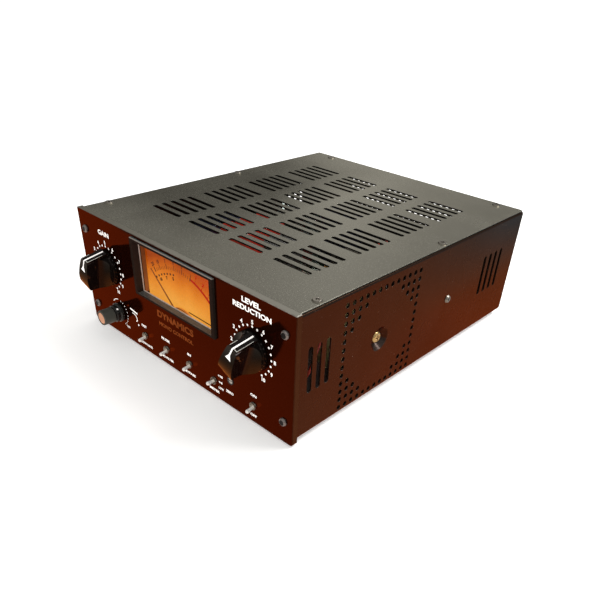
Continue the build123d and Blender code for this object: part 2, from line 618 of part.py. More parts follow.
TOGGLE_MOUTH = 1.2                                # bushing end, in front of the panel
with BuildPart() as toggle_bodies:
    for x in TOGGLE_X:
        block(x - 3.5, x + 3.5, PANEL_T, 14.4, TOGGLE_Z - 6.4, TOGGLE_Z + 6.4)
        rod((x, -TOGGLE_MOUTH, TOGGLE_Z), REAR, 2.35, TOGGLE_MOUTH + 5)
        rod((x, -TOGGLE_MOUTH - 1, TOGGLE_Z), REAR, 1.62, TOGGLE_MOUTH + 9, mode=Mode.SUBTRACT)
        # flared mouth
        loft([disc(face(1.4, x, TOGGLE_Z), 1.6), disc(face(-TOGGLE_MOUTH, x, TOGGLE_Z), 2.0)],
             mode=Mode.SUBTRACT)
        # hole for the lever's cross pin
        rod((x - 2.45, TOGGLE_PIVOT, TOGGLE_Z), RIGHT, 0.56, 4.9, mode=Mode.SUBTRACT)
        # three terminals
        for k in (-1, 0, 1):
            terminal_z = TOGGLE_Z + 4.5 * k
            block(x - 0.4, x + 0.4, 14.2, 17.0, terminal_z - 0.8, terminal_z + 0.8)
save(toggle_bodies, "toggle_bodies")

with BuildPart() as toggle_nuts:
    for x in TOGGLE_X:
        extrude(disc(face(0, x, TOGGLE_Z), 2.8), amount=0.9, taper=12)
        rod((x, 0.5, TOGGLE_Z), FRONT, 2.4, 3.0, mode=Mode.SUBTRACT)
save(toggle_nuts, "toggle_nuts")

with BuildPart() as control_board:
    block(-50.0, 84.0, 17.0, 18.6, 5.5, 23.0)
save(control_board, "control_board")

trim_x, trim_z = TRIM_POS
with BuildPart() as zero_trimmer:
    rod((trim_x, -0.4, trim_z), REAR, 2.7, 5.0)
    block(trim_x - 4.5, trim_x + 4.5, PANEL_T, 12.5, trim_z - 3.5, trim_z + 3.5)
    rod((trim_x, -1.0, trim_z), REAR, 2.05, 8.0, mode=Mode.SUBTRACT)
save(zero_trimmer, "zero_trimmer")

with BuildPart() as trim_screw:
    rod((trim_x, -0.2, trim_z), REAR, 2.0, 7.0)
    block(trim_x - 2.2, trim_x + 2.2, -0.5, 0.6, trim_z - 0.35, trim_z + 0.35,
          mode=Mode.SUBTRACT)
save(trim_screw, "trim_screw")

# ================================================================ knobs
SET_SCREW_Y = -8.0
# Profiles in a plane through the axis: distance from the axis, height above the panel
KNOB_BLANK = [
    (0, 0.6), (12.6, 0.6), (13.0, 1.0), (13.0, 3.0), (12.7, 3.4),
    (11.7, KNOB_H + 0.4), (0, KNOB_H + 0.4),
]
KNOB_NOSE = [(0, 1.6), (13.0, 1.6), (15.6, 4.2), (12.1, KNOB_H + 0.4), (0, KNOB_H + 0.4)]
NOSE_W = 6.6
# Crown from above the nose to the tail
KNOB_CROWN = [(20.0, 17.6), (11.0, 19.2), (3.0, KNOB_H), (-5.0, 19.2), (-10.5, 17.4), (-14.5, 13.6)]
EMPHASIS_PROFILE = [
    (0, 0.8), (6.9, 0.8), (7.1, 1.2), (7.1, 2.6), (6.2, 3.4), (6.2, 5.6), (5.9, 5.9),
    (5.2, 6.0), (5.2, 6.8), (5.7, 7.2), (5.5, EMPHASIS_H - 0.7), (5.2, EMPHASIS_H - 0.2),
    (4.6, EMPHASIS_H), (4.4, EMPHASIS_H - 0.4), (0, EMPHASIS_H - 0.4),
]


def side_plane(position, angle):
    """Plane through a knob's axis: local x along the pointer, local y out of the panel."""
    a = radians(angle)
    return Plane(origin=place(position[0], 0, position[1]),
                 x_dir=(cos(a), 0, sin(a)), z_dir=(sin(a), 0, -cos(a)))


def cross_plane(position, angle, shift):
    """Plane across a direction, moved along it by shift: local x to the direction's left,
    local y out of the panel, normal along the direction."""
    a = radians(angle)
    return Plane(origin=place(position[0] + shift * cos(a), 0, position[1] + shift * sin(a)),
                 x_dir=(-sin(a), 0, cos(a)), z_dir=(cos(a), 0, sin(a)))


def pointer_knob(position, angle):
    """Pointer knob: round skirt, flat-ended nose, scooped sides and an arched top."""
    x, z = position
    axis_plane = side_plane(position, angle)
    with BuildPart() as knob:
        with BuildSketch(axis_plane) as half:
            with BuildLine():
                Polyline(*KNOB_BLANK, close=True)
            make_face()
        revolve(half.sketch, axis=Axis(place(x, 0, z), REAR), revolution_arc=360)
        with BuildSketch(axis_plane.offset(-NOSE_W / 2)) as nose:
            with BuildLine():
                Polyline(*KNOB_NOSE, close=True)
            make_face()
        extrude(nose.sketch, amount=NOSE_W)
        # finger scoops, closing in towards the nose
        for s in (-1, 1):
            with BuildSketch(cross_plane(position, angle - s * 6.5, shift=-20.0)) as scoop:
                with BuildLine():
                    Polyline((s * 5.35, KNOB_H + 2), (s * 4.55, 13.0))
                    ThreePointArc((s * 4.55, 13.0), (s * 5.6, 7.6), (s * 13.5, 4.4))
                    Polyline((s * 13.5, 4.4), (s * 24.0, 4.4), (s * 24.0, KNOB_H + 2),
                             (s * 5.35, KNOB_H + 2))
                make_face()
            extrude(scoop.sketch, amount=44.0, mode=Mode.SUBTRACT)
        # arched top
        with BuildSketch(axis_plane.offset(-20)) as crown:
            with BuildLine():
                Spline(*KNOB_CROWN)
                Polyline(KNOB_CROWN[-1], (-20.0, 13.6), (-20.0, 30.0), (20.0, 30.0),
                         KNOB_CROWN[0])
            make_face()
        extrude(crown.sketch, amount=40.0, mode=Mode.SUBTRACT)
        # the curve may rise above its points, so the top is cut level with the knob's height
        with BuildSketch(axis_plane.offset(-20)) as flat:
            with BuildLine():
                Polyline((-20.0, KNOB_H), (20.0, KNOB_H), (20.0, 30.0), (-20.0, 30.0),
                         close=True)
            make_face()
        extrude(flat.sketch, amount=40.0, mode=Mode.SUBTRACT)
        # underside recess, shaft bore and set screw hole in the tail
        rod((x, 0.0, z), FRONT, 8.2, 4.4, mode=Mode.SUBTRACT)
        rod((x, 0.0, z), FRONT, 3.05, 14.2, mode=Mode.SUBTRACT)
        a = radians(angle)
        rod((x, SET_SCREW_Y, z), (-cos(a), 0, -sin(a)), SNUG_R, 20.0, mode=Mode.SUBTRACT)
    return knob


def knob_shaft(position):
    with BuildPart() as shaft:
        rod((position[0], 11.5, position[1]), FRONT, 3.0, 25.5)
    return shaft


def set_screw(position, angle):
    """Hexagon-socket screw from the shaft towards the knob's tail."""
    a = radians(angle)
    tail = (-cos(a), 0, -sin(a))
    inner_end = along((position[0], SET_SCREW_Y, position[1]), tail, 3.02)
    length = 6.0
    with BuildPart() as screw:
        rod(inner_end, tail, SCREW_R, length)
        hexagon(along(inner_end, tail, length), (cos(a), 0, sin(a)), 0.8, 2.0,
                mode=Mode.SUBTRACT)
    return screw


for name, position, angle in (("gain", GAIN_POS, GAIN_ANGLE),
                              ("reduction", REDUCTION_POS, REDUCTION_ANGLE)):
    save(pointer_knob(position, angle), f"{name}_knob")
    save(knob_shaft(position), f"{name}_shaft")
    save(set_screw(position, angle), f"{name}_set_screw")

# Small emphasis knob: round grip with a rim, a groove, a collar and a skirt.
emphasis_x, emphasis_z = EMPHASIS_POS
with BuildPart() as emphasis_knob:
    with BuildSketch(side_plane(EMPHASIS_POS, 60.0)) as turned:
        with BuildLine():
            Polyline(*EMPHASIS_PROFILE, close=True)
        make_face()
    revolve(turned.sketch, axis=Axis(place(emphasis_x, 0, emphasis_z), REAR),
            revolution_arc=360)
    # stepped recess and shaft bore: radius, depth from the panel's face
    for radius, depth in ((5.6, 2.1), (4.0, 4.4), (2.05, 12.2)):
        rod((emphasis_x, 0.0, emphasis_z), FRONT, radius, depth, mode=Mode.SUBTRACT)
save(emphasis_knob, "emphasis_knob")

with BuildPart() as emphasis_shaft:
    rod((emphasis_x, 11.0, emphasis_z), FRONT, 2.0, 23.0)
save(emphasis_shaft, "emphasis_shaft")

# ================================================================ toggle levers
LEVER_R, LEVER_TIP_R = 0.85, 1.3
LEVER_NECK, LEVER_TIP = 4.4, 8.0                  # where the widening starts and ends


def toggle_lever(x, tilt):
    """Bat lever on a ball with a cross pin, tipped downwards by tilt degrees."""
    a = radians(tilt)
    pivot = Plane(origin=place(x, TOGGLE_PIVOT, TOGGLE_Z), x_dir=RIGHT,
                  z_dir=(0, -cos(a), -sin(a)))
    neck, tip = pivot.offset(LEVER_NECK), pivot.offset(LEVER_TIP)
    with BuildPart() as lever:
        with Locations(pivot):
            Sphere(1.5)
        loft([disc(pivot, LEVER_R), disc(neck, LEVER_R)])
        loft([disc(neck, LEVER_R), disc(tip, LEVER_TIP_R)])
        with Locations(tip):
            Sphere(LEVER_TIP_R)
        with Locations(pivot.offset(-3.2)):
            Cylinder(0.6, 3.2, align=(Align.CENTER, Align.CENTER, Align.MIN))
        rod((x - 2.0, TOGGLE_PIVOT, TOGGLE_Z), RIGHT, 0.5, 4.0)
    return lever


for name, x, tilt in TOGGLES:
    save(toggle_lever(x, tilt), name)

# ================================================================ rear connectors
SOCKET_FLANGE = 0.8                               # flange faces beyond the rear edge
INLET_FLANGE = 1.8


def socket_shell(x):
    """Flanged round shell of a three-contact connector, opening to the rear."""
    with BuildPart() as shell:
        with BuildSketch(face(BODY_D + SOCKET_FLANGE)):
            with Locations((x, REAR_Z)):
                RectangleRounded(26.0, 31.0, 2.0)
        extrude(amount=2.0)
        rod((x, BODY_D - 22.0, REAR_Z), REAR, 12.0, 22.0)
        for dx, dz in SOCKET_SCREW_OFFSETS:
            rod((x + dx, BODY_D - 3, REAR_Z + dz), REAR, CLEAR_R, 6.0, mode=Mode.SUBTRACT)
        rod((x, BODY_D - 14.0, REAR_Z), REAR, 9.4, 18.0, mode=Mode.SUBTRACT)
    return shell


def contacts(x):
    """Centres (x, z) of a connector's three contacts."""
    angles = [radians(90 + 120 * k) for k in range(3)]
    return [(x + 4.2 * cos(a), REAR_Z + 4.2 * sin(a)) for a in angles]


with BuildPart() as input_socket:
    add(socket_shell(INPUT_X).part)
    rod((INPUT_X, BODY_D - 15.0, REAR_Z), REAR, 7.6, 14.4)
    for x, z in contacts(INPUT_X):
        rod((x, BODY_D - 11.0, z), REAR, 1.3, 12.0, mode=Mode.SUBTRACT)
    block(INPUT_X - 3.6, INPUT_X + 3.6, BODY_D - 8.0, BODY_D + 2.0,
          REAR_Z + 11.0, REAR_Z + 14.6, mode=Mode.SUBTRACT)
save(input_socket, "input_socket")

with BuildPart() as output_socket:
    add(socket_shell(OUTPUT_X).part)
    for x, z in contacts(OUTPUT_X):
        rod((x, BODY_D - 15.0, z), REAR, 1.2, 12.0)
save(output_socket, "output_socket")

with BuildPart() as latch_button:
    block(INPUT_X - 3.5, INPUT_X + 3.5, BODY_D - 5.4, BODY_D + 2.0,
          REAR_Z + 11.1, REAR_Z + 14.5)
    fillet(latch_button.edges().group_by(Axis.Y)[-1], 0.5)
save(latch_button, "latch_button")

with BuildPart() as link_jack:
    block(LINK_X - 8.0, LINK_X + 8.0, BODY_D - 30.0, REAR_INNER, REAR_Z - 7.0, REAR_Z + 7.0)
    rod((LINK_X, BODY_D - 4.0, REAR_Z), REAR, 4.8, 6.6)
    hexagon((LINK_X, REAR_OUTER, REAR_Z), REAR, 7.0, 2.2)
    rod((LINK_X, BODY_D - 28.0, REAR_Z), REAR, 3.25, 32.0, mode=Mode.SUBTRACT)
save(link_jack, "link_jack")

# Inlet mouth, relative to the inlet's centre: x, z
INLET_MOUTH = [(-12.2, -0.5), (12.2, -0.5), (12.2, 10.0), (7.2, 15.4), (-7.2, 15.4), (-12.2, 10.0)]
with BuildPart() as mains_inlet:
    with BuildSketch(face(BODY_D + INLET_FLANGE)):
        with Locations((INLET_X, REAR_Z)):
            RectangleRounded(50.0, 37.0, 4.0)
    extrude(amount=3.0)
    block(INLET_X - 14.2, INLET_X + 14.2, BODY_D - 24.0, BODY_D, REAR_Z - 16.5, REAR_Z + 16.5)
    with BuildSketch(face(BODY_D + 2.0)) as mouth:
        with BuildLine():
            Polyline(*[(INLET_X + dx, REAR_Z + dz) for dx, dz in INLET_MOUTH], close=True)
        make_face()
    extrude(mouth.sketch, amount=18.0, mode=Mode.SUBTRACT)
    # three blades
    for dx, dz in ((-7.0, 4.0), (7.0, 4.0), (0.0, 9.0)):
        block(INLET_X + dx - 1.0, INLET_X + dx + 1.0, BODY_D - 17.0, BODY_D - 3.0,
              REAR_Z + dz - 2.4, REAR_Z + dz + 2.4)
    # opening for the fuse drawer
    block(INLET_X - 8.1, INLET_X + 8.1, BODY_D - 20.0, BODY_D + 3.0,
          REAR_Z - 13.6, REAR_Z - 4.4, mode=Mode.SUBTRACT)
    for x, z in INLET_SCREWS:
        rod((x, BODY_D - 3, z), REAR, CLEAR_R, 6.0, mode=Mode.SUBTRACT)
save(mains_inlet, "mains_inlet")

with BuildPart() as fuse_drawer:
    block(INLET_X - 8.0, INLET_X + 8.0, BODY_D - 19.5, BODY_D + REAR_PROUD,
          REAR_Z - 13.5, REAR_Z - 4.5)
    fillet(fuse_drawer.edges().group_by(Axis.Y)[-1], 0.8)
    block(INLET_X - 5.5, INLET_X + 5.5, BODY_D - 18.0, BODY_D - 3.0,
          REAR_Z - 11.5, REAR_Z - 3.0, mode=Mode.SUBTRACT)
save(fuse_drawer, "fuse_drawer")

# Screws of the rear panel, the connectors and the inlet.
with BuildPart() as rear_screws:
    for positions, seat_y in ((REAR_PANEL_SCREWS, REAR_OUTER),
                              (SOCKET_SCREWS, BODY_D + SOCKET_FLANGE),
                              (INLET_SCREWS, BODY_D + INLET_FLANGE)):
        for x, z in positions:
            cross_screw((x, seat_y, z), REAR, shank=6.0, head_r=2.7, head_h=1.2, taper=25,
                        recess_r=1.4, recess_depth=0.9)
save(rear_screws, "rear_screws")

# ================================================================ wiring
WIRES = [                                         # radius, points (x, y, z) of the centre line
    # power toggle to the mains inlet, along the right side
    (0.9, [(76.5, 19.6, 12.0), (88.0, 22.0, 20.0), (99.0, 15.0, 40.0), (98.0, 24.0, 68.0),
           (92.0, 60.0, 79.0), (88.0, 130.0, 77.0), (74.0, 200.0, 50.0), (64.0, 222.0, 30.0)]),
    (0.9, [(72.5, 19.6, 12.0), (84.0, 25.0, 22.0), (98.5, 21.0, 37.0), (101.0, 28.0, 58.0),
           (96.0, 60.0, 79.5), (92.0, 130.0, 80.0), (79.0, 200.0, 52.0), (68.0, 222.0, 32.0)]),
    # transformer secondaries to the valve board
    (0.8, [(80.0, 112.5, 38.0), (70.0, 122.0, 70.0), (40.0, 156.0, 68.0), (24.0, 170.0, 40.0),
           (15.0, 172.0, 15.0)]),
    (0.8, [(83.0, 113.0, 36.0), (74.0, 126.0, 72.0), (44.0, 160.0, 70.0), (28.0, 178.0, 40.0),
           (15.0, 182.0, 15.0)]),
    # reduction control to the valve board
    (0.7, [(70.0, 17.0, 44.0), (60.0, 34.0, 26.0), (40.0, 44.0, 17.0), (17.0, 60.0, 15.0)]),
    # gain control to the valve board
    (0.7, [(-77.0, 17.0, 44.0), (-82.0, 28.0, 34.0), (-86.0, 40.0, 20.0), (-86.0, 46.0, 15.0)]),
]
with BuildPart() as wiring:
    for radius, points in WIRES:
        with BuildLine() as path:
            Spline(*[place(*point) for point in points])
        with BuildSketch(Plane(origin=path.line @ 0, z_dir=path.line % 0)) as section:
            Circle(radius)
        sweep(section.sketch, path=path.line)
save(wiring, "wiring")
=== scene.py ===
"""Looks of a rack compressor: finishes for every solid, printed scales, the lit meter and fittings.

Places are in mm: x right, y back from the panel's face, z up from the panel's lower edge.
place() turns them into the row's metres, whose origin lies at mid depth, just below the panel.
"""
import json
import random
from math import cos, hypot, pi, radians, sin

import bmesh
import bpy
from mathutils import Matrix, Vector
from mathutils.bvhtree import BVHTree


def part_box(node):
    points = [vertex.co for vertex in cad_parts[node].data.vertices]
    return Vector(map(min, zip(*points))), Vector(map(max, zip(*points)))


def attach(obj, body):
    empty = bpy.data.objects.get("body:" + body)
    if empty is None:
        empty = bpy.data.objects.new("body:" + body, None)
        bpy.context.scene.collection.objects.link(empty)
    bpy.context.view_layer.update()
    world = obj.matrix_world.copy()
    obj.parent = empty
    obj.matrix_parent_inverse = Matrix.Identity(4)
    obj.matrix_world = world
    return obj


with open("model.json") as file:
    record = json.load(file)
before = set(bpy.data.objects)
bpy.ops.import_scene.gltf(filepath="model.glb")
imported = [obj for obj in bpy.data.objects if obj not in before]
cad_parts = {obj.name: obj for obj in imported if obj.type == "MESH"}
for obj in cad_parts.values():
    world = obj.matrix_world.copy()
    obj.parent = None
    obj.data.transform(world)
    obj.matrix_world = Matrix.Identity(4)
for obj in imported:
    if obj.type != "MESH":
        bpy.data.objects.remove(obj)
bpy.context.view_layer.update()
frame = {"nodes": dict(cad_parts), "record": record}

scene = bpy.context.scene
random.seed(11)
NODES = frame["nodes"]

HALF_DEPTH = 118.75         # from the panel's face back to the row's origin
PANEL_FOOT = 1.0            # the panel's lower edge above the row's origin
PANEL_TOP = 86.0
PRINT_Y = -0.03             # print lies just in front of the panel's face
LIFT = 0.00006              # metres a marking stands off a moulding

# centres of the knobs, (x, z)
GAIN = (-76.9, 52.3)
REDUCTION = (74.4, 52.4)
TONE = (-69.5, 20.0)
TONE_COLLAR_Y = -6.9        # where the small knob's collar begins
CORE_CENTRE = (0, 78.5, 43.0)   # of the wound ring

# meter
NEEDLE_PIVOT = (-5.5, 23.5)     # (x, z), the centre of the dial's arcs
DIAL_PRINT_Y = 9.46
WINDOW = (0.15, 65.65)          # (x, z), the window's centre


def place(x, y, z):
    """Point in metres of the row, from mm of the panel."""
    return Vector((x / 1000, (y - HALF_DEPTH) / 1000, (z + PANEL_FOOT) / 1000))


def to_mm(x, y, z):
    """The inverse of place()."""
    return x * 1000, y * 1000 + HALF_DEPTH, z * 1000 - PANEL_FOOT


# ------------------------------------------------------------------------------ shader nodes
FALL = (1.0, 0.0)


class Net:
    """Node tree of a material or world, with short calls that add and link nodes."""

    def __init__(self, owner):
        self.owner = owner
        owner.use_nodes = True
        self.tree = owner.node_tree
        self.tree.nodes.clear()
        self.coord = self.add("TexCoord").outputs

    def add(self, kind, inputs=None, **props):
        node = self.tree.nodes.new("ShaderNode" + kind)
        for key, value in props.items():
            setattr(node, key, value)
        for key, value in (inputs or {}).items():
            self.put(node.inputs[key], value)
        return node

    def put(self, socket, value):
        """Link a socket, or a node's first output, or set a plain value."""
        if isinstance(value, bpy.types.Node):
            value = value.outputs[0]
        if isinstance(value, bpy.types.NodeSocket):
            self.tree.links.new(value, socket)
        elif socket.type == "RGBA":
            socket.default_value = (*value[:3], 1)
        else:
            socket.default_value = value

    def noise(self, scale, detail=3.0, rough=0.5, stretch=None):
        where = self.coord["Object"]
        if stretch:
            where = self.add("Mapping", {"Vector": where, "Scale": stretch})
        inputs = {"Vector": where, "Scale": scale, "Detail": detail, "Roughness": rough}
        return self.add("TexNoise", inputs).outputs["Fac"]

    def ramp(self, factor, stops):
        """Colour ramp through stops of (position, colour)."""
        node = self.add("ValToRGB", {0: factor})
        elements = node.color_ramp.elements
        while len(elements) < len(stops):
            elements.new(0.5)
        for element, (position, colour) in zip(elements, stops):
            element.position = position
            element.color = (*colour, 1)
        return node.outputs[0]

    def maths(self, operation, first, second=0.0, clamp=False):
        inputs = {0: first, 1: second, 2: 0.0}
        return self.add("Math", inputs, operation=operation, use_clamp=clamp).outputs[0]

    def times(self, product, *factors, clamp=False):
        for factor in factors:
            product = self.maths("MULTIPLY", product, factor, clamp=clamp)
        return product

    def span(self, value, over, to=(0.0, 1.0), **props):
        """Map the range `over` onto the range `to`, clamped."""
        return self.add("MapRange", dict(enumerate((value, *over, *to))), **props).outputs[0]

    def mix(self, factor, first, second, blend="MIX"):
        inputs = {0: factor, 6: first, 7: second}
        return self.add("Mix", inputs, data_type="RGBA", blend_type=blend).outputs[2]

    def split(self, vector):
        return self.add("SeparateXYZ", {0: vector}).outputs

    def axes(self, origin=(0, 0, 0)):
        """x, y and z in metres from origin."""
        inputs = {0: self.coord["Object"], 1: origin}
        return self.split(self.add("VectorMath", inputs, operation="SUBTRACT"))

    def facing(self):
        """Components of the face's own normal."""
        return self.split(self.add("NewGeometry").outputs["True Normal"])

    def out(self, shader, kind="OutputMaterial"):
        self.add(kind, {0: shader})
        return self.owner


def material_net(name):
    return Net(bpy.data.materials.new(name))


def surface(name, colour, rough, metal=0.0, vary=0.16, scale=40.0, grain=0.12,
            grain_scale=2400.0, rough_vary=0.08, spec=0.5, edge=0.0003, wear=None,
            wear_amount=0.6, speck=None, brush=None, coat=0.0, coat_rough=0.1, glow=None,
            glow_power=0.0, flare=None, pattern=None, gloss=None, mirror=None,
            mirror_gain=1.0, tone=None):
    """Finish with broad colour variation, uneven roughness, fine grain and softened edges.

    vary, scale: share and noise scale of the colour variation; brush stretches all noise.
    grain, grain_scale: strength and noise scale of the bump.
    edge: radius in metres the edges are softened by; wear: colour they are rubbed to.
    speck: scale, above (noise threshold), share and colour of the dust.
    glow, glow_power, flare: emission colour, its strength, and its strength in reflections; painted
    glow on all but lamps.
    pattern and gloss change the colour and the roughness.
    mirror: painted reflection colour of a satin lacquer, which tone(net, colour, reflection)
    changes.
    """
    net = material_net(name)
    broad = net.noise(scale, detail=5, rough=0.55, stretch=brush)
    fine = net.noise(grain_scale, detail=2, rough=0.6, stretch=brush)
    low = [part * (1 - vary) for part in colour]
    high = [min(1.0, part * (1 + vary)) for part in colour]
    shade = net.ramp(broad, [(0.32, low), (0.68, high)])
    if pattern:
        shade = pattern(net, shade)
    uneven = net.noise(scale * 2.3, detail=4, rough=0.6, stretch=brush)
    roughness = net.span(uneven, over=(0.25, 0.75),
                         to=(max(0.02, rough - rough_vary), min(1.0, rough + rough_vary)))
    if gloss:
        roughness = gloss(net, roughness)
    bump_inputs = {"Strength": max(grain, 0.02), "Distance": 0.00012, "Height": fine}
    if edge:
        bevel = net.add("Bevel", {"Radius": edge}, samples=4)
        bump_inputs["Normal"] = bevel
        if wear:
            flat = net.add("NewGeometry").outputs["True Normal"]
            dot = net.add("VectorMath", {0: bevel, 1: flat}, operation="DOT_PRODUCT")
            turned = net.maths("SUBTRACT", 1.0, dot.outputs["Value"])
            mask = net.span(turned, over=(0.02, 0.22))
            rub = net.span(net.noise(420.0, detail=5, rough=0.7), over=(0.42, 0.66),
                           to=(0.0, wear_amount))
            shade = net.mix(net.times(mask, rub, clamp=True), shade, wear)
    if speck:
        dust = net.span(net.noise(speck["scale"], detail=1.5),
                        over=(speck["above"], speck["above"] + 0.05), to=(0.0, speck["share"]))
        shade = net.mix(dust, shade, speck["colour"])
        roughness = net.mix(dust, roughness, (0.8, 0.8, 0.8))
    bump = net.add("Bump", bump_inputs)
    if mirror:
        # a dark ground under a painted coloured reflection that grows at a slant and pales upward
        ray = net.split(net.coord["Reflection"])
        reflection = net.mix(net.span(ray[2], over=(-0.12, 0.12)), mirror, (1.0, 0.98, 0.94))
        if tone:
            shade, reflection = tone(net, shade, reflection)
        matt = net.add("BsdfDiffuse", {"Color": shade, "Normal": bump})
        shine = net.add("BsdfGlossy",
                        {"Color": reflection, "Roughness": roughness, "Normal": bump})
        slant = net.times(net.add("Fresnel", {"IOR": 1.5}), mirror_gain, clamp=True)
        return net.out(net.add("MixShader", {0: slant, 1: matt, 2: shine}))
    body = net.add("BsdfPrincipled", {
        "Base Color": shade, "Roughness": roughness, "Normal": bump, "Metallic": metal,
        "Specular IOR Level": spec, "Coat Weight": coat, "Coat Roughness": coat_rough})
    if glow:
        net.put(body.inputs["Emission Color"], glow)
        net.put(body.inputs["Emission Strength"], glow_power)
        if flare:
            mirrored = net.add("LightPath").outputs["Is Glossy Ray"]
            net.put(body.inputs["Emission Strength"],
                    net.span(mirrored, over=(0.0, 1.0), to=(glow_power, flare)))
    return net.out(body)


def glassy(name, tint, strength, rough, smudge=0.05, flat=False):
    """Thin clear sheet: see-through, with a faintly smudged reflection that grows at a slant.

    strength scales the reflection, smudge widens its roughness; flat drops it on the
    faces that look forward.
    """
    net = material_net(name)
    smears = net.span(net.noise(70.0, detail=4, rough=0.6), over=(0.3, 0.7),
                      to=(rough, rough + smudge))
    sheen = net.ramp(net.noise(30.0), [(0.3, (0.9, 0.9, 0.88)), (0.7, (1, 1, 1))])
    glossy = net.add("BsdfGlossy", {"Roughness": smears, "Color": sheen})
    clear = net.add("BsdfTransparent", {"Color": tint})
    seen = net.add("NewGeometry")
    outside = net.maths("SUBTRACT", 1.0, seen.outputs["Backfacing"])
    share = net.times(net.add("Fresnel", {"IOR": 1.5}), net.times(outside, strength),
                      clamp=True)
    if flat:
        normal = net.split(seen.outputs["True Normal"])
        share = net.times(share, net.span(normal[1], over=(-0.9, -0.8), to=FALL))
    return net.out(net.add("MixShader", {0: share, 1: clear, 2: glossy}))


def lit_dial(name):
    """Meter card with a painted glow standing in for the lamp behind it: amber, brightest low and
    in the middle, redder at the top.
    """
    net = material_net(name)
    x, _, z = net.axes(place(-6, 10, 46))
    rise = net.span(z, over=(0.0, 0.030))
    wave = net.span(net.noise(36.0), over=(0.3, 0.7), to=(-0.10, 0.10))
    side = net.times(net.span(net.maths("ABSOLUTE", x), over=(0.008, 0.045)), 0.22)
    level = net.maths("ADD", net.maths("ADD", rise, wave), side)
    colour = net.ramp(level, [
        (0.0, (0.97, 0.42, 0.062)), (0.38, (0.88, 0.290, 0.028)), (0.62, (0.74, 0.190, 0.013)),
        (0.84, (0.54, 0.100, 0.006)), (1.0, (0.38, 0.055, 0.003))])
    # painted shade: a darker red towards the upper right
    corner = net.times(net.span(x, over=(0.012, 0.030), to=(0.0, 0.55)),
                       net.span(z, over=(0.016, 0.026)))
    colour = net.mix(corner, colour, (0.72, 0.085, 0.016))
    fibre = net.span(net.noise(900.0, rough=0.6), over=(0.3, 0.7), to=(0.93, 1.05))
    light = net.add("Emission", {"Color": colour, "Strength": fibre})
    card = net.add("BsdfPrincipled", {
        "Base Color": net.mix(0.5, colour, (0.2, 0.08, 0.02)),
        "Roughness": 0.9, "Specular IOR Level": 0.05})
    return net.out(net.add("MixShader", {0: 0.14, 1: light, 2: card}))


# --------------------------------------------------------- changes of colour over a solid
def coil_bands(net, colour):
    """Overlapping turns of tape wound round the ring core."""
    x, y, z = net.axes(place(*CORE_CENTRE))
    angle = net.maths("ARCTAN2", z, y)
    slant = net.maths("ADD", net.times(angle, 9.0), net.times(x, 120.0))
    lap = net.span(net.maths("FRACT", slant), over=(0.0, 0.18), to=(0.65, 0.0))
    return net.mix(lap, colour, (0.30, 0.25, 0.10))


def board_tracks(net, colour):
    """Copper tracks under green solder mask."""
    cells = net.add("TexVoronoi", {"Vector": net.coord["Object"], "Scale": 130.0},
                    feature="DISTANCE_TO_EDGE")
    line = net.span(cells.outputs["Distance"], over=(0.03, 0.07), to=FALL)
    return net.mix(line, colour, (0.10, 0.26, 0.10))


def cover_flecks(net, colour):
    """Powder coat grain: fine light and dark flecks."""
    fleck = net.noise(1500.0, rough=0.7)
    dark = net.mix(net.span(fleck, over=(0.30, 0.46), to=(0.55, 0.0)), colour,
                   (0.045, 0.043, 0.036))
    return net.mix(net.span(fleck, over=(0.56, 0.70), to=(0.0, 0.6)), dark, (0.30, 0.29, 0.25))


def behind_collar(net):
    """1 on the small knob's collar and skirt, 0 over its grip."""
    _, y, _ = net.axes(place(0, TONE_COLLAR_Y, 0))
    return net.span(y, over=(-0.0006, 0.0002))


def collar(net, colour):
    return net.mix(behind_collar(net), colour, (0.010, 0.009, 0.008))


def collar_gloss(net, roughness):
    return net.mix(behind_collar(net), roughness, (0.12, 0.12, 0.12))


def panel_tone(net, colour, reflection):
    """Painted red-brown reflection on front and edges; painted satin-grey sheen on the narrow
    upward edge, like the cover.
    """
    normal = net.facing()
    upward = net.span(normal[2], over=(0.55, 0.80))
    sideways = net.span(normal[0], over=(0.55, 0.80))
    x, _, z = net.axes(place(0, 0, PANEL_TOP))
    # painted shade: the reflection darkens along the top of the front, over its middle
    rim = net.times(net.span(z, over=(-0.0005, 0.0012), to=(0.0, 0.75)),
                    net.span(net.maths("ABSOLUTE", x), over=(0.046, 0.060), to=FALL))
    # painted light: right-facing and upward faces get lighter copies of colour and reflection
    colour = net.mix(sideways, colour, (0.014, 0.0075, 0.0045))
    colour = net.mix(upward, colour, (0.110, 0.104, 0.086))
    reflection = net.mix(rim, reflection, (0.12, 0.06, 0.035))
    reflection = net.mix(sideways, reflection, (0.74, 0.195, 0.055))
    # painted highlight along the upper edge, in patches, more towards the right
    painted_top_highlight = net.times(
        net.span(z, over=(0.00145, 0.0017)),
        net.span(x, over=(-0.035, 0.020), to=(0.12, 0.85)),
        net.span(net.noise(160.0, detail=4, rough=0.6), over=(0.35, 0.6), to=(0.35, 1.0)),
        net.maths("SUBTRACT", 1.0, upward))
    return (net.mix(painted_top_highlight, colour, (0.50, 0.46, 0.41)),
            net.mix(upward, reflection, (1.0, 0.98, 0.9)))


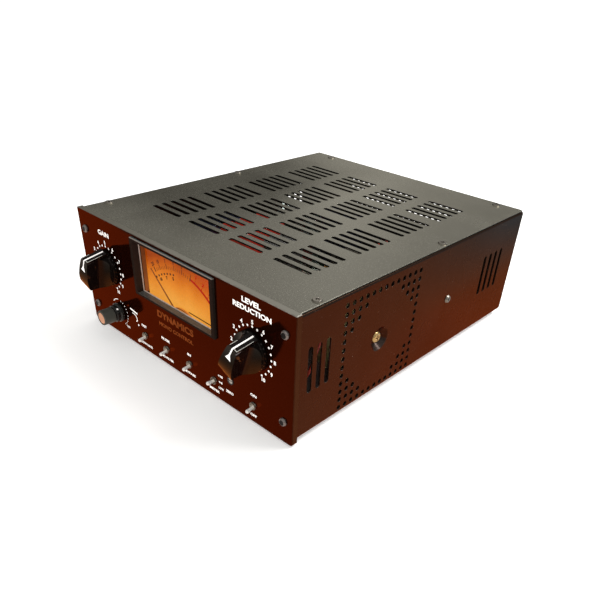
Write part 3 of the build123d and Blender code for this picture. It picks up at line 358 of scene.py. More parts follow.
def cover_tone(net, colour, reflection):
    """Painted shade on the cut edges of the cover sheet, and a painted highlight along the front
    one.
    """
    normal = net.facing()
    flat = net.span(normal[2], over=(0.45, 0.60))
    _, y, _ = net.axes(place(0, 5.5, 0))
    front = net.times(net.span(normal[1], over=(-0.8, -0.6), to=FALL),
                      net.span(y, over=(0.0, 0.001), to=(0.8, 0.0)))
    # painted shade on the cut edges, painted highlight on the front one
    cut = net.mix(front, (0.010, 0.009, 0.008), (0.30, 0.27, 0.23))
    # painted shade: the reflection darkens towards the left of the sheet
    x, y, _ = net.axes(place(0, 0, 0))
    depth = net.times(net.span(y, over=(0.012, 0.055)),
                      net.span(y, over=(0.15, 0.27), to=(1.0, 0.15)))
    painted_left_shade = net.times(net.span(x, over=(-0.045, -0.003), to=(0.60, 0.0)), depth)
    reflection = net.mix(painted_left_shade, reflection, (0.0, 0.0, 0.0))
    warm = net.mix(1.0, reflection, (1.0, 0.985, 0.885), "MULTIPLY")
    return net.mix(flat, cut, colour), net.mix(flat, (0.06, 0.05, 0.04), warm)


def case_tone(net, colour, reflection):
    """Painted reflection: warm at the front, greyer towards the top rear; the rounded top edge held
    to a dim brown.
    """
    normal = net.facing()
    _, y, z = net.axes(place(107, HALF_DEPTH, 0))
    # painted warm reflection low at the front, painted grey one towards the top rear
    low = net.times(net.span(y, over=(-0.10, 0.02)), net.span(z, over=(0.028, 0.058), to=FALL))
    painted_grey_rear = net.times(net.span(y, over=(-0.06, 0.115)), net.span(z, over=(0.040, 0.082)))
    reflection = net.mix(low, reflection, (0.755, 0.130, 0.018))
    reflection = net.mix(painted_grey_rear, reflection, (0.38, 0.225, 0.140))
    top_edge = net.times(net.span(normal[2], over=(0.15, 0.45)),
                         net.span(z, over=(0.074, 0.078)))
    return colour, net.mix(top_edge, reflection, (0.36, 0.19, 0.12))


def bezel_tone(net, colour, reflection):
    """Black moulding with painted highlights on its upward ledges and bevelled rim, and a painted
    lighter tone on faces turned right.
    """
    normal = net.facing()
    ledge = net.span(normal[2], over=(0.80, 0.92))
    rim = net.times(net.span(normal[2], over=(0.40, 0.55)),
                    net.span(normal[2], over=(0.80, 0.92), to=FALL))
    # painted sheen in streaks on the upward ledges
    ledge_painted_sheen = net.ramp(net.noise(90.0, detail=4, rough=0.6, stretch=(1.0, 14.0, 1.0)),
                      [(0.35, (0.046, 0.060, 0.064)), (0.65, (0.108, 0.128, 0.130))])
    colour = net.mix(ledge, colour, ledge_painted_sheen)
    colour = net.mix(rim, colour, (0.20, 0.175, 0.155))
    colour = net.mix(net.span(normal[0], over=(0.80, 0.92)), colour, (0.022, 0.017, 0.014))
    reflection = net.mix(rim, reflection, (1.0, 0.95, 0.88))
    return colour, net.mix(ledge, reflection, (0.80, 0.95, 1.0))


def knob_tone(net, colour, reflection):
    """Gloss moulding with a painted reflection: its front goes from warm low down, through dark, to
    grey at the top; downward faces reflect darker.
    """
    normal = net.facing()
    _, _, z = net.axes(place(0, 0, 38.0))
    down = net.span(normal[2], over=(-0.45, -0.10), to=FALL)
    front = net.span(normal[1], over=(-0.75, -0.45), to=FALL)
    # painted reflection on front faces, graded by height
    face = net.ramp(net.span(z, over=(0.0, 0.030)), [
        (0.10, (0.80, 0.27, 0.055)), (0.26, (0.64, 0.21, 0.050)), (0.40, (0.36, 0.15, 0.055)),
        (0.52, (0.18, 0.11, 0.065)), (0.66, (0.22, 0.20, 0.17)), (0.90, (0.60, 0.59, 0.54))])
    # painted shade: downward faces reflect darker
    painted_dim_reflection = net.mix(1.0, reflection, (0.30, 0.27, 0.28), "MULTIPLY")
    return colour, net.mix(front, net.mix(down, painted_dim_reflection, reflection), face)


# ------------------------------------------------------------------------------ finishes
# white print with a faint painted glow
WHITE = surface("print_white", colour=(0.88, 0.86, 0.83), rough=0.55, vary=0.05, scale=300,
                grain=0.05, edge=0, glow=(1.0, 0.95, 0.92), glow_power=0.45)
# orange print with a painted orange reflection
ORANGE = surface("print_orange", colour=(0.185, 0.040, 0.010), rough=0.3, vary=0.30, scale=260,
                 grain=0.05, edge=0, mirror=(0.85, 0.25, 0.06), mirror_gain=0.9)
DIAL_INK = surface("dial_ink", colour=(0.024, 0.007, 0.003), rough=0.8, vary=0.2, scale=200,
                   grain=0.05, edge=0, spec=0.1)
# red dial print with a painted glow of the backlit card
DIAL_RED = surface("dial_red", colour=(0.26, 0.006, 0.002), rough=0.7, vary=0.15, scale=200,
                   grain=0.05, edge=0, spec=0.02, glow=(0.50, 0.014, 0.002), glow_power=0.45)

# surface() arguments of the solids' finishes, with painted reflections (mirror) and painted glows
# (all glows but the lamp's)
FINISHES = {
    "case_paint": dict(
        colour=(0.0095, 0.0062, 0.0048), rough=0.26, vary=0.20, scale=22, grain=0.16,
        grain_scale=1900, wear=(0.16, 0.12, 0.09), edge=0.0006, wear_amount=0.4,
        speck=dict(scale=1100.0, above=0.745, share=0.5, colour=(0.34, 0.27, 0.22)),
        mirror=(0.755, 0.168, 0.038), mirror_gain=1.25, rough_vary=0.06, tone=case_tone),
    "cover_paint": dict(
        colour=(0.050, 0.0475, 0.038), rough=0.25, vary=0.10, scale=14, grain=0.34,
        grain_scale=1500, edge=0.0004, pattern=cover_flecks, rough_vary=0.05,
        mirror=(1.0, 0.98, 0.90), mirror_gain=1.6, tone=cover_tone),
    "panel_paint": dict(
        colour=(0.0062, 0.0013, 0.0005), rough=0.085, vary=0.2, scale=18, grain=0.05,
        grain_scale=2600, wear=(0.30, 0.20, 0.14), edge=0.00045, wear_amount=0.28,
        speck=dict(scale=1300.0, above=0.775, share=0.25, colour=(0.16, 0.08, 0.05)),
        rough_vary=0.03, mirror=(0.655, 0.070, 0.008), mirror_gain=1.25, tone=panel_tone),
    "dark_screw": dict(
        colour=(0.30, 0.265, 0.25), rough=0.28, metal=0.85, vary=0.2, scale=400, grain=0.1,
        wear=(0.55, 0.5, 0.46), edge=0.0002),
    "bright_screw": dict(
        colour=(0.30, 0.275, 0.23), rough=0.30, metal=1.0, vary=0.12, scale=500, grain=0.10,
        wear=(0.75, 0.73, 0.7), edge=0.00015),
    "gold_screw": dict(
        colour=(0.72, 0.50, 0.22), rough=0.28, metal=1.0, vary=0.15, scale=300, grain=0.15,
        wear=(0.95, 0.8, 0.5)),
    "rubber": dict(
        colour=(0.022, 0.022, 0.021), rough=0.85, vary=0.25, scale=200, grain=0.4,
        grain_scale=1200,
        speck=dict(scale=500.0, above=0.66, share=0.4, colour=(0.10, 0.09, 0.08))),
    "wound_core": dict(
        colour=(0.66, 0.58, 0.26), rough=0.38, vary=0.18, scale=60, grain=0.2,
        pattern=coil_bands, coat=0.4, coat_rough=0.2),
    "plain_steel": dict(
        colour=(0.62, 0.61, 0.58), rough=0.32, metal=0.95, vary=0.12, scale=180,
        brush=(1.0, 6.0, 1.0), wear=(0.85, 0.84, 0.8), edge=0.00025),
    "board": dict(
        colour=(0.020, 0.085, 0.036), rough=0.35, vary=0.2, scale=60, grain=0.1,
        pattern=board_tracks, coat=0.5, coat_rough=0.15, edge=0),
    "ceramic": dict(
        colour=(0.82, 0.79, 0.70), rough=0.55, vary=0.06, scale=120, grain=0.1,
        speck=dict(scale=600.0, above=0.68, share=0.5, colour=(0.45, 0.40, 0.32))),
    "valve_metal": dict(
        colour=(0.34, 0.34, 0.33), rough=0.4, metal=0.8, vary=0.2, scale=300, grain=0.15),
    # red film capacitors with a faint painted glow
    "film_red": dict(
        colour=(0.55, 0.040, 0.022), rough=0.22, vary=0.12, scale=90, grain=0.04, coat=0.6,
        coat_rough=0.08, edge=0.0004, glow=(0.60, 0.060, 0.035), glow_power=0.16),
    "capacitor_sleeve": dict(
        colour=(0.026, 0.032, 0.075), rough=0.30, vary=0.15, scale=150, grain=0.05, coat=0.3),
    "can": dict(
        colour=(0.70, 0.69, 0.66), rough=0.34, metal=0.9, vary=0.10, scale=120,
        wear=(0.9, 0.88, 0.84)),
    "core_steel": dict(
        colour=(0.30, 0.27, 0.22), rough=0.48, metal=0.6, vary=0.25, scale=90, grain=0.25,
        brush=(1.0, 1.0, 9.0)),
    "bezel_black": dict(
        colour=(0.0085, 0.0062, 0.0052), rough=0.24, vary=0.2, scale=70, grain=0.10,
        mirror=(0.26, 0.15, 0.11), mirror_gain=0.9, tone=bezel_tone),
    "lamp": dict(
        colour=(0.9, 0.6, 0.25), rough=0.3, vary=0.1, grain=0.02, glow=(1.0, 0.55, 0.16),
        glow_power=1.4, edge=0),
    # needle with a painted glow of the lit dial behind it
    "needle": dict(
        colour=(0.15, 0.045, 0.010), rough=0.6, vary=0.2, scale=300, grain=0.05, edge=0,
        spec=0.1, glow=(0.22, 0.060, 0.010), glow_power=0.6),
    "knob_black": dict(
        colour=(0.0045, 0.0034, 0.0028), rough=0.09, vary=0.25, scale=120, grain=0.02, edge=0,
        speck=dict(scale=900.0, above=0.76, share=0.25, colour=(0.12, 0.10, 0.08)),
        rough_vary=0.03, mirror=(0.72, 0.235, 0.075), mirror_gain=1.4, tone=knob_tone),
    "knob_grey": dict(
        colour=(0.062, 0.061, 0.050), rough=0.46, vary=0.14, scale=120, grain=0.25,
        wear=(0.30, 0.29, 0.26), pattern=collar, gloss=collar_gloss),
    # amber with a painted glow of the backlit meter; its edges turn dark brown through the wear mix
    "amber_cover": dict(
        colour=(0.40, 0.13, 0.025), rough=0.35, vary=0.12, scale=120, grain=0.05, edge=0.0006,
        wear=(0.10, 0.025, 0.006), wear_amount=0.9, glow=(0.60, 0.20, 0.025), glow_power=0.62),
    "toggle_metal": dict(
        colour=(0.34, 0.30, 0.25), rough=0.26, metal=1.0, vary=0.15, scale=500, grain=0.06,
        edge=0),
    # levers with a painted glow, stronger in reflections, that draws their bright streaks in the
    # panel
    "lever_chrome": dict(
        colour=(0.93, 0.91, 0.87), rough=0.20, metal=0.85, vary=0.05, scale=500, grain=0.03,
        edge=0, glow=(1.0, 0.96, 0.90), glow_power=0.24, flare=0.6),
    "connector": dict(
        colour=(0.020, 0.020, 0.021), rough=0.42, vary=0.2, scale=150, grain=0.3,
        wear=(0.12, 0.12, 0.12)),
    "wire": dict(
        colour=(0.42, 0.045, 0.025), rough=0.40, vary=0.18, scale=120, grain=0.08),
}
MATERIALS = {name: surface(name, **finish) for name, finish in FINISHES.items()}
MATERIALS["valve_glass"] = glassy("valve_glass", tint=(0.93, 0.96, 0.95), strength=1.3,
                                  rough=0.02)
MATERIALS["meter_window"] = glassy("meter_window", tint=(0.99, 0.985, 0.975), strength=0.18,
                                   rough=0.015, smudge=0.02, flat=True)
MATERIALS["dial"] = lit_dial("dial")

# solids whose finish isn't that of their slot
OTHER_FINISH = {"toggle_nuts": "toggle_metal", "toggle_bodies": "toggle_metal",
                "movement_cover": "amber_cover"}

record_slots = {part["node"]: part["material_slot"] for part in frame["record"]["subparts"]}
for node_name, node in NODES.items():
    slot_name = record_slots[node_name]
    node.data.materials.clear()
    node.data.materials.append(MATERIALS[OTHER_FINISH.get(node_name, slot_name)])


# ------------------------------------------------------------------------------ shapes
def around(centre, radius, angle):
    """Point (x, z) on a circle, angle in radians from the right."""
    return centre[0] + radius * cos(angle), centre[1] + radius * sin(angle)


def steps(start, end, count):
    """count + 1 even values from start to end."""
    return [start + (end - start) * i / count for i in range(count + 1)]


class Shape:
    """Faces gathered in one mesh that rides on a body."""

    def __init__(self):
        self.verts, self.faces = [], []

    def add(self, verts, faces):
        base = len(self.verts)
        self.verts += verts
        self.faces += [tuple(base + i for i in face) for face in faces]

    def add_rows(self, rows):
        """Quads between successive rows of points."""
        width = len(rows[0]) if rows else 0
        self.add([point for row in rows for point in row],
                 [(width * i + k, width * i + k + 1, width * (i + 1) + k + 1,
                   width * (i + 1) + k)
                  for i in range(len(rows) - 1) for k in range(width - 1)])

    def add_rings(self, verts, sides):
        """Skin over successive rings of points, with closed ends."""
        faces = []
        last = len(verts) - sides
        for ring in range(0, last, sides):
            for k in range(sides):
                after = (k + 1) % sides
                faces.append((ring + k, ring + after, ring + sides + after, ring + sides + k))
        faces.append(tuple(range(sides))[::-1])
        faces.append(tuple(range(last, last + sides)))
        self.add(verts, faces)

    def tube(self, path, radius, sides=6):
        """Tube along points in metres."""
        verts = []
        guide = Vector((0.13, 0.21, 0.97)).normalized()     # never parallel to a path
        for i, point in enumerate(path):
            ahead = (path[min(i + 1, len(path) - 1)] - path[max(i - 1, 0)]).normalized()
            side = ahead.cross(guide)
            side.normalize()
            other = ahead.cross(side)
            for k in range(sides):
                angle = 2 * pi * k / sides
                verts.append(point + side * cos(angle) * radius + other * sin(angle) * radius)
        self.add_rings(verts, sides)

    def turned(self, origin, axis, profile, sides=24):
        """Profile of (radius, distance) in mm turned about axis, from origin in mm."""
        axis = Vector(axis).normalized()
        side = axis.orthogonal().normalized()
        other = axis.cross(side)
        start = place(*origin)
        verts = []
        for radius, distance in profile:
            for k in range(sides):
                angle = 2 * pi * k / sides
                spoke = side * cos(angle) + other * sin(angle)
                verts.append(start + axis * distance / 1000 + spoke * radius / 1000)
        self.add_rings(verts, sides)

    def brick(self, across, deep, high):
        """Box between pairs of x, y and z, in mm."""
        self.add([place(x, y, z) for z in high for y in deep for x in across],
                 [(0, 2, 3, 1), (4, 5, 7, 6), (0, 1, 5, 4), (2, 6, 7, 3), (0, 4, 6, 2),
                  (1, 3, 7, 5)])

    def done(self, name, material, body="case", smooth=False):
        mesh = bpy.data.meshes.new(name)
        mesh.from_pydata([tuple(vert) for vert in self.verts], [], self.faces)
        mesh.validate()
        mesh.update()
        if smooth:
            mesh.shade_smooth()
        mesh.materials.append(material)
        made = bpy.data.objects.new(name, mesh)
        scene.collection.objects.link(made)
        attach(made, body)
        return made


class Sheet(Shape):
    """Flat print in the plane y, drawn with points (x, z) in mm."""

    def __init__(self, y=PRINT_Y):
        super().__init__()
        self.y = y

    def poly(self, points):
        self.add([place(x, self.y, z) for x, z in points], [range(len(points))])

    def dot(self, centre, radius, sides=20):
        self.poly([around(centre, radius, 2 * pi * i / sides) for i in range(sides)])

    def bar(self, start, end, width):
        (x0, z0), (x1, z1) = start, end
        length = hypot(x1 - x0, z1 - z0)
        dx, dz = -(z1 - z0) / length * width / 2, (x1 - x0) / length * width / 2
        self.poly([(x0 - dx, z0 - dz), (x1 - dx, z1 - dz), (x1 + dx, z1 + dz),
                   (x0 + dx, z0 + dz)])

    def arc(self, centre, radius, start, end, width, count=24):
        """Band from start to end, in degrees from the right."""
        inner, outer = radius - width / 2, radius + width / 2
        for i in range(count):
            now, after = (radians(start + (end - start) * (i + k) / count) for k in (0, 1))
            self.poly([around(centre, inner, now), around(centre, inner, after),
                       around(centre, outer, after), around(centre, outer, now)])

    def stroke(self, points, width):
        for start, end in zip(points, points[1:]):
            self.bar(start, end, width)
        for point in points:
            self.dot(point, width / 2, sides=10)

    def words(self, text, centre, height, width=None, bold=0.0, turn=0.0):
        """Text scaled to height (and width) in mm, turned by turn radians."""
        curve = bpy.data.curves.new("words", "FONT")
        curve.body = text
        curve.offset = bold
        curve.resolution_u = 4
        written = bpy.data.objects.new("words", curve)
        scene.collection.objects.link(written)
        bpy.context.view_layer.update()
        graph = bpy.context.evaluated_depsgraph_get()
        mesh = bpy.data.meshes.new_from_object(written.evaluated_get(graph))
        xs = [vert.co.x for vert in mesh.vertices]
        ys = [vert.co.y for vert in mesh.vertices]
        middle_x, middle_y = (min(xs) + max(xs)) / 2, (min(ys) + max(ys)) / 2
        scale_y = height / (max(ys) - min(ys))
        scale_x = width / (max(xs) - min(xs)) if width else scale_y
        verts = []
        for vert in mesh.vertices:
            right = (vert.co.x - middle_x) * scale_x
            rise = (vert.co.y - middle_y) * scale_y
            verts.append(place(centre[0] + right * cos(turn) - rise * sin(turn), self.y,
                               centre[1] + right * sin(turn) + rise * cos(turn)))
        self.add(verts, [tuple(face.vertices) for face in mesh.polygons])
        bpy.data.objects.remove(written)
        bpy.data.curves.remove(curve)
        bpy.data.meshes.remove(mesh)


def tree_of(node_name):
    """Search tree over a solid's faces."""
    mesh = NODES[node_name].data
    return BVHTree.FromPolygons([vert.co for vert in mesh.vertices],
                                [tuple(face.vertices) for face in mesh.polygons])


def bend(points, count=3):
    """Smooth path through points (Catmull-Rom), count steps from each to the next."""
    ends = [points[0], *points, points[-1]]
    path = []
    for i in range(1, len(ends) - 2):
        p0, p1, p2, p3 = ends[i - 1:i + 3]
        for k in range(count):
            t = k / count
            path.append(0.5 * ((2 * p1) + (p2 - p0) * t + (2 * p0 - 5 * p1 + 4 * p2 - p3) * t * t
                               + (3 * p1 - p0 - 3 * p2 + p3) * t ** 3))
    path.append(points[-1])
    return path


# ------------------------------------------------------------------------------ front print
def knob_scale(name, centre):
    """Ring of 21 dots and the numbers 0 to 10, clockwise from the lower left."""
    sheet = Sheet()
    for i in range(21):
        sheet.dot(around(centre, 15.6, radians(240 - 15 * i)), radius=0.72)
    for i in range(11):
        sheet.words(str(i), around(centre, 18.35, radians(240 - 30 * i)), height=2.7, bold=0.04)
    sheet.done(name, WHITE)


def labels(name, bold, rows, material=WHITE):
    """Print of rows of (text, x, z, width, height)."""
    sheet = Sheet()
    for text, x, z, width, height in rows:
        sheet.words(text, (x, z), height, width, bold)
    sheet.done(name, material)


def tone_scale():
    """Dots, arc and marks round the small knob."""
    sheet = Sheet()
    radius = 9.6
    for i in range(10):
        sheet.dot(around(TONE, radius, radians(75 - 15 * i)), radius=0.42)
    sheet.arc(TONE, radius, start=96, end=142, width=0.55)
    sheet.words("TONE", (-61.2, 10.6), height=1.7, width=4.2, bold=0.03)
    sheet.bar((-55.2, 28.3), (-46.4, 27.0), width=1.25)
    sheet.stroke([(-52.6, 25.6), (-50.2, 25.4), (-48.6, 24.6), (-47.6, 23.0), (-47.6, 21.2),
                  (-48.8, 20.2)], width=0.7)
    sheet.dot((-46.6, 18.0), radius=0.75)
    sheet.done("scale_tone", WHITE)


knob_scale("scale_gain", GAIN)
knob_scale("scale_reduction", REDUCTION)
labels("label_gain", 0.025, [("GAIN", -77.0, 77.0, 13.4, 3.5)])
labels("label_reduction", 0.035, [
    ("LEVEL", 73.6, 82.4, 15.5, 3.4), ("REDUCTION", 74.0, 77.4, 31.5, 3.4)])
labels("label_title", 0.045, [
    ("DYNAMICS", -1.0, 38.7, 39.0, 5.2), ("MONO CONTROL", -1.0, 31.3, 37.0, 3.0)], ORANGE)
tone_scale()
labels("labels_switches", 0.045, [
    ("FAST", -39.5, 20.2, 6.0, 1.9), ("SLOW RATE", -39.4, 5.3, 15.0, 1.9),
    ("FILTER", -14.0, 20.2, 9.6, 1.9), ("NO FILTER", -13.8, 5.3, 14.0, 1.9),
    ("IN", 11.9, 20.2, 3.6, 1.9), ("BYPASS", 11.9, 5.3, 11.0, 1.9),
    ("+10", 43.8, 18.8, 4.6, 1.8), ("+4", 43.8, 14.1, 3.6, 1.8), ("LOW", 44.2, 9.5, 5.0, 1.8),
    ("METER", 37.4, 5.3, 10.0, 1.9), ("ZERO", 52.6, 11.0, 7.2, 1.9),
    ("ON", 74.8, 20.4, 5.4, 1.9), ("OFF", 74.8, 5.3, 5.8, 1.9)])

# ------------------------------------------------------------------------------ knob markings
# painted highlights along the big knobs' nose edges
PAINTED_EDGE_GLINT = surface("painted_edge_glint", colour=(0.50, 0.49, 0.44), rough=0.35, vary=0.25, scale=500,
               grain=0.05, edge=0, glow=(0.8, 0.78, 0.70), glow_power=0.22)
# orange-pink metal: a painted reflection of the warm floor on the bright cap
CAP = surface("knob_cap", colour=(0.98, 0.52, 0.33), rough=0.20, metal=1.0, vary=0.08,
              scale=260, grain=0.05, edge=0, brush=(1.0, 1.0, 1.0))


def complete(rows):
    """The rows whose rays all hit."""
    return [row for row in rows if all(point is not None for point in row)]


def pointer(body, centre, degrees):
    """White line down a big knob's nose and over its top, and painted highlights along the nose's
    edges.
    """
    tree = tree_of(body + "_knob")
    angle = radians(degrees)
    along = Vector((cos(angle), 0, sin(angle)))
    across = Vector((-sin(angle), 0, cos(angle)))
    base = place(centre[0], 0, centre[1])
    outside, before = 24.0, 30.0    # where rays start, beyond the nose and before the top
    nose_foot, nose_top = 4.9, 18.75    # the line's ends, in mm before the panel
    nose_reach, top_end, tip = 12.32, 7.4, 3.8  # mm from the axis: line, triangle, its end

    def hit(reach, aside, height, ray):
        """Point on the moulding; reach along the nose, height in front of the panel."""
        start = (base + along * reach / 1000 + across * aside / 1000
                 + Vector((0, -height / 1000, 0)))
        found = tree.ray_cast(start, ray)[0]
        return None if found is None else found - ray * LIFT

    rows = [[hit(outside, aside, height, -along) for aside in (-0.5, 0.0, 0.5)]
            for height in steps(nose_foot, nose_top, 14)]
    top = [(reach, 0.5) for reach in steps(nose_reach, top_end, 14)]
    top += zip(steps(top_end, tip, 8), steps(0.5, 2.25, 8))     # the widening triangle
    rows += [[hit(reach, aside, before, Vector((0, 1, 0))) for aside in (-half, 0.0, half)]
             for reach, half in top]
    rows = complete(rows)
    # a row that jumps away from the one before has hit another face
    rows = [row for i, row in enumerate(rows)
            if i == 0 or (row[1] - rows[i - 1][1]).length < 0.004]
    line = Shape()
    line.add_rows(rows)
    line.done("pointer_" + body, WHITE, body).visible_glossy = False

    def on_nose(aside, height):
        """The hit, if it lies on the nose's slanting end."""
        point = hit(outside, aside, height, -along)
        reach = 15.6 - (height - 4.2) * 3.5 / 15.9
        if point is None or abs((point - base).dot(along) * 1000 - reach) >= 0.25:
            return None
        return point

    # painted highlights: light strips along the nose's edges
    edges = Shape()
    for rows in (
            [[on_nose(aside, height) for aside in (-3.0, -2.72)]
             for height in steps(7.0, 18.5, 16)],
            [[on_nose(aside, height) for height in (18.15, 18.5)]
             for aside in steps(-0.75, -2.95, 6)],
            [[on_nose(aside, height) for aside in (2.80, 3.05)]
             for height in steps(13.5, 18.5, 6)]):
        edges.add_rows(complete(rows))
    edges.done("painted_edge_glint_" + body, PAINTED_EDGE_GLINT, body).visible_glossy = False


def tone_dot():
    """White oval on the small knob's collar."""
    tree = tree_of("emphasis_knob")
    ring = []
    for i in range(12):
        turn = 2 * pi * i / 12
        angle = radians(51.0 + 6.5 * cos(turn))
        outward = Vector((cos(angle), 0, sin(angle)))
        start = place(TONE[0], -(4.4 + 0.72 * sin(turn)), TONE[1]) + outward * 0.02
        found = tree.ray_cast(start, -outward)[0]
        if found is not None:
            ring.append(found + outward * LIFT)
    # fewer than three hits make no face
    if len(ring) > 2:
        oval = Shape()
        oval.add(ring, [range(len(ring))])
        oval.done("pointer_tone", WHITE, "emphasis")


def tone_cap():
    """Bright dished cap in the small knob's rim."""
    cap = Shape()
    cap.turned((TONE[0], -15.55, TONE[1]), (0, -1, 0),
               [(4.35, 0.0), (4.35, 0.12), (3.9, 0.22), (2.0, 0.14), (0.6, 0.10)], sides=48)
    cap.done("cap_tone", CAP, "emphasis", smooth=True)


pointer("gain", GAIN, degrees=72.0)
pointer("reduction", REDUCTION, degrees=66.0)
tone_dot()
tone_cap()


# ------------------------------------------------------------------------------ meter
def polar(radius, degrees):
    """Point (x, z) on the dial's arcs, degrees to the right of straight up."""
    angle = radians(degrees)
    return NEEDLE_PIVOT[0] + radius * sin(angle), NEEDLE_PIVOT[1] + radius * cos(angle)


def dial_print():
    """Dark lower scale, fainter upper scale and red zone."""
    ink, red, faint = Sheet(DIAL_PRINT_Y), Sheet(DIAL_PRINT_Y), Sheet(DIAL_PRINT_Y)

    def number(sheet, text, radius, degrees, height, bold):
        sheet.words(text, polar(radius, degrees), height, bold=bold, turn=-radians(degrees))

    for k in range(7):
        ink.dot(polar(43.2, -36.2 + 4.7 * k), radius=0.78, sides=14)
    for degrees, text in ((-30.5, "10"), (-20, "7"), (-9.5, "5")):
        number(ink, text, 40.4, degrees, height=2.4, bold=0.07)
    for degrees, text, sheet, bold in (
            (-34, "20", ink, 0.02), (-26, "10", faint, 0.08), (-16, "7", faint, 0.08),
            (-6, "5", faint, 0.08), (4, "3", faint, 0.08)):
        sheet.bar(polar(46.3, degrees), polar(49.9, degrees), width=0.9)
        number(sheet, text, 51.8, degrees, height=2.7, bold=bold)
    for k in range(19):
        degrees = -31 + 2.5 * k
        faint.bar(polar(46.3, degrees), polar(48.4, degrees), width=0.55)
    for degrees, text in ((20, "1"), (28, "2"), (36, "3")):
        red.bar(polar(47.5, degrees), polar(50.0, degrees), width=0.5)
        number(red, text, 52.4, degrees, height=2.9, bold=0.05)
    red.arc(NEEDLE_PIVOT, 47.4, start=90 - 15, end=90 - 50, width=1.7, count=44)
    ink.bar(polar(45.8, 14.5), polar(51.0, 14.5), width=0.5)
    ink.done("dial_marks", DIAL_INK)
    # the faint scale has a painted glow of the backlit card too
    faint.done("dial_scale", surface(
        "dial_faint", colour=(0.10, 0.022, 0.005), rough=0.8, vary=0.2, scale=200, grain=0.05,
        edge=0, spec=0.05, glow=(0.22, 0.040, 0.004), glow_power=0.5))
    red.done("dial_red_zone", DIAL_RED)


def dial_seams():
    """Dark lines along the dial's foot and round the movement cover."""
    foot_line = Sheet(DIAL_PRINT_Y)
    foot_line.bar((2.0, 44.5), (38.4, 43.9), width=0.8)
    foot_line.done("dial_foot_dark_line", DIAL_INK)
    rim = Sheet(5.68)
    rim.arc((-0.5, 28.364), 18.30, start=30, end=150, width=0.45, count=36)
    rim.done("movement_cover_rim", DIAL_INK)


def window_seal():
    """Pale strips round the window, in front of the glass, with a painted glow standing in for the
    window's lit edge.
    """
    glow_strips = Shape()
    # left, right, foot, top of each side, from the window's centre
    for left, right, foot, top in (
            (-39.0, -38.65, -18.4, 18.4), (38.65, 39.0, -18.4, 18.4),
            (-38.65, 38.65, -18.4, -17.95), (-38.65, 38.65, 18.05, 18.4)):
        glow_strips.brick((WINDOW[0] + left, WINDOW[0] + right), (2.85, 3.48),
                   (WINDOW[1] + foot, WINDOW[1] + top))
    glow_strips.done("window_seal", surface(
        "window_seal", colour=(0.40, 0.355, 0.32), rough=0.38, vary=0.22, scale=160, grain=0.15,
        edge=0, glow=(0.55, 0.40, 0.32), glow_power=0.22))


def dial_cheeks():
    """Walls beside the dial with a painted glow, brighter low down, standing in for light from
    behind the card.
    """
    walls = Shape()
    for side in (-1, 1):
        across = sorted((WINDOW[0] + side * 42.55, WINDOW[0] + side * 42.30))
        walls.brick(across, (5.15, 9.44), (44.0, 84.6))
    net = material_net("cheek_painted_glow")
    _, _, z = net.axes(place(0, 7.0, 46.0))
    grainy = net.span(net.noise(160.0, detail=4, rough=0.6), over=(0.3, 0.7), to=(0.75, 1.2))
    colour = net.mix(net.span(z, over=(0.0, 0.036)),
                     (0.25, 0.070, 0.018), (0.105, 0.024, 0.008))
    glow = net.add("Emission", {"Color": colour, "Strength": grainy})
    walls.done("dial_cheeks", net.out(glow))


def screw_recesses():
    """Dark discs in the panel screws' sockets: painted shade."""
    shade_discs = Shape()
    for x in (-100.6, 100.6):
        for z in (15.2, 74.1):
            shade_discs.turned((x, -1.71, z), (0, -1, 0), [(1.78, -0.05), (1.78, 0.0), (1.5, 0.03)])
    shade_discs.done("screw_recesses", surface(
        "socket_shade_black", colour=(0.006, 0.005, 0.005), rough=0.5, vary=0.3, scale=400, grain=0.2,
        edge=0, spec=0.2))


dial_print()
dial_seams()
window_seal()
dial_cheeks()
screw_recesses()

# ------------------------------------------------------------------------------ main board
RESISTOR = surface("resistor_body", colour=(0.28, 0.42, 0.52), rough=0.35, vary=0.2, scale=300,
                   grain=0.05, edge=0, coat=0.4)
LEAD = surface("solder", colour=(0.72, 0.70, 0.66), rough=0.28, metal=1.0, vary=0.1, scale=500,
               grain=0.1, edge=0)
DISC = surface("disc_capacitor", colour=(0.62, 0.30, 0.06), rough=0.45, vary=0.15, scale=250,
               grain=0.1, edge=0)
# aluminium can tops with a faint painted glow, so they glint
CAN_TOP = surface("can_top", colour=(0.86, 0.85, 0.82), rough=0.30, metal=0.9, vary=0.08,
                  scale=300, grain=0.2, brush=(1.0, 8.0, 1.0), edge=0, glow=(1.0, 0.99, 0.96),
                  glow_power=0.10)

# solids the small parts keep clear of
OBSTACLES = [tree_of(name) for name in (
    "valve_sockets", "film_capacitors", "electrolytic_capacitors", "optical_cell",
    "input_transformer", "output_transformer", "board_screws", "wiring", "valve_bulbs",
    "toroid_transformer", "regulator_bracket")]
PART_COUNT, MOST_TRIES = 46, 900
CLEARANCE, PART_GAP = 0.0062, 0.0085    # metres to the solids and between parts
DISC_PROFILE = [(0.6, -1.0), (2.6, -0.9), (3.0, 0.0), (2.6, 0.9), (0.6, 1.0)]
RESISTOR_PROFILE = [(0.4, 0.0), (1.05, 0.25), (1.15, 0.9), (0.95, 1.4), (0.95, 5.0),
                    (1.15, 5.5), (1.05, 6.15), (0.4, 6.4)]


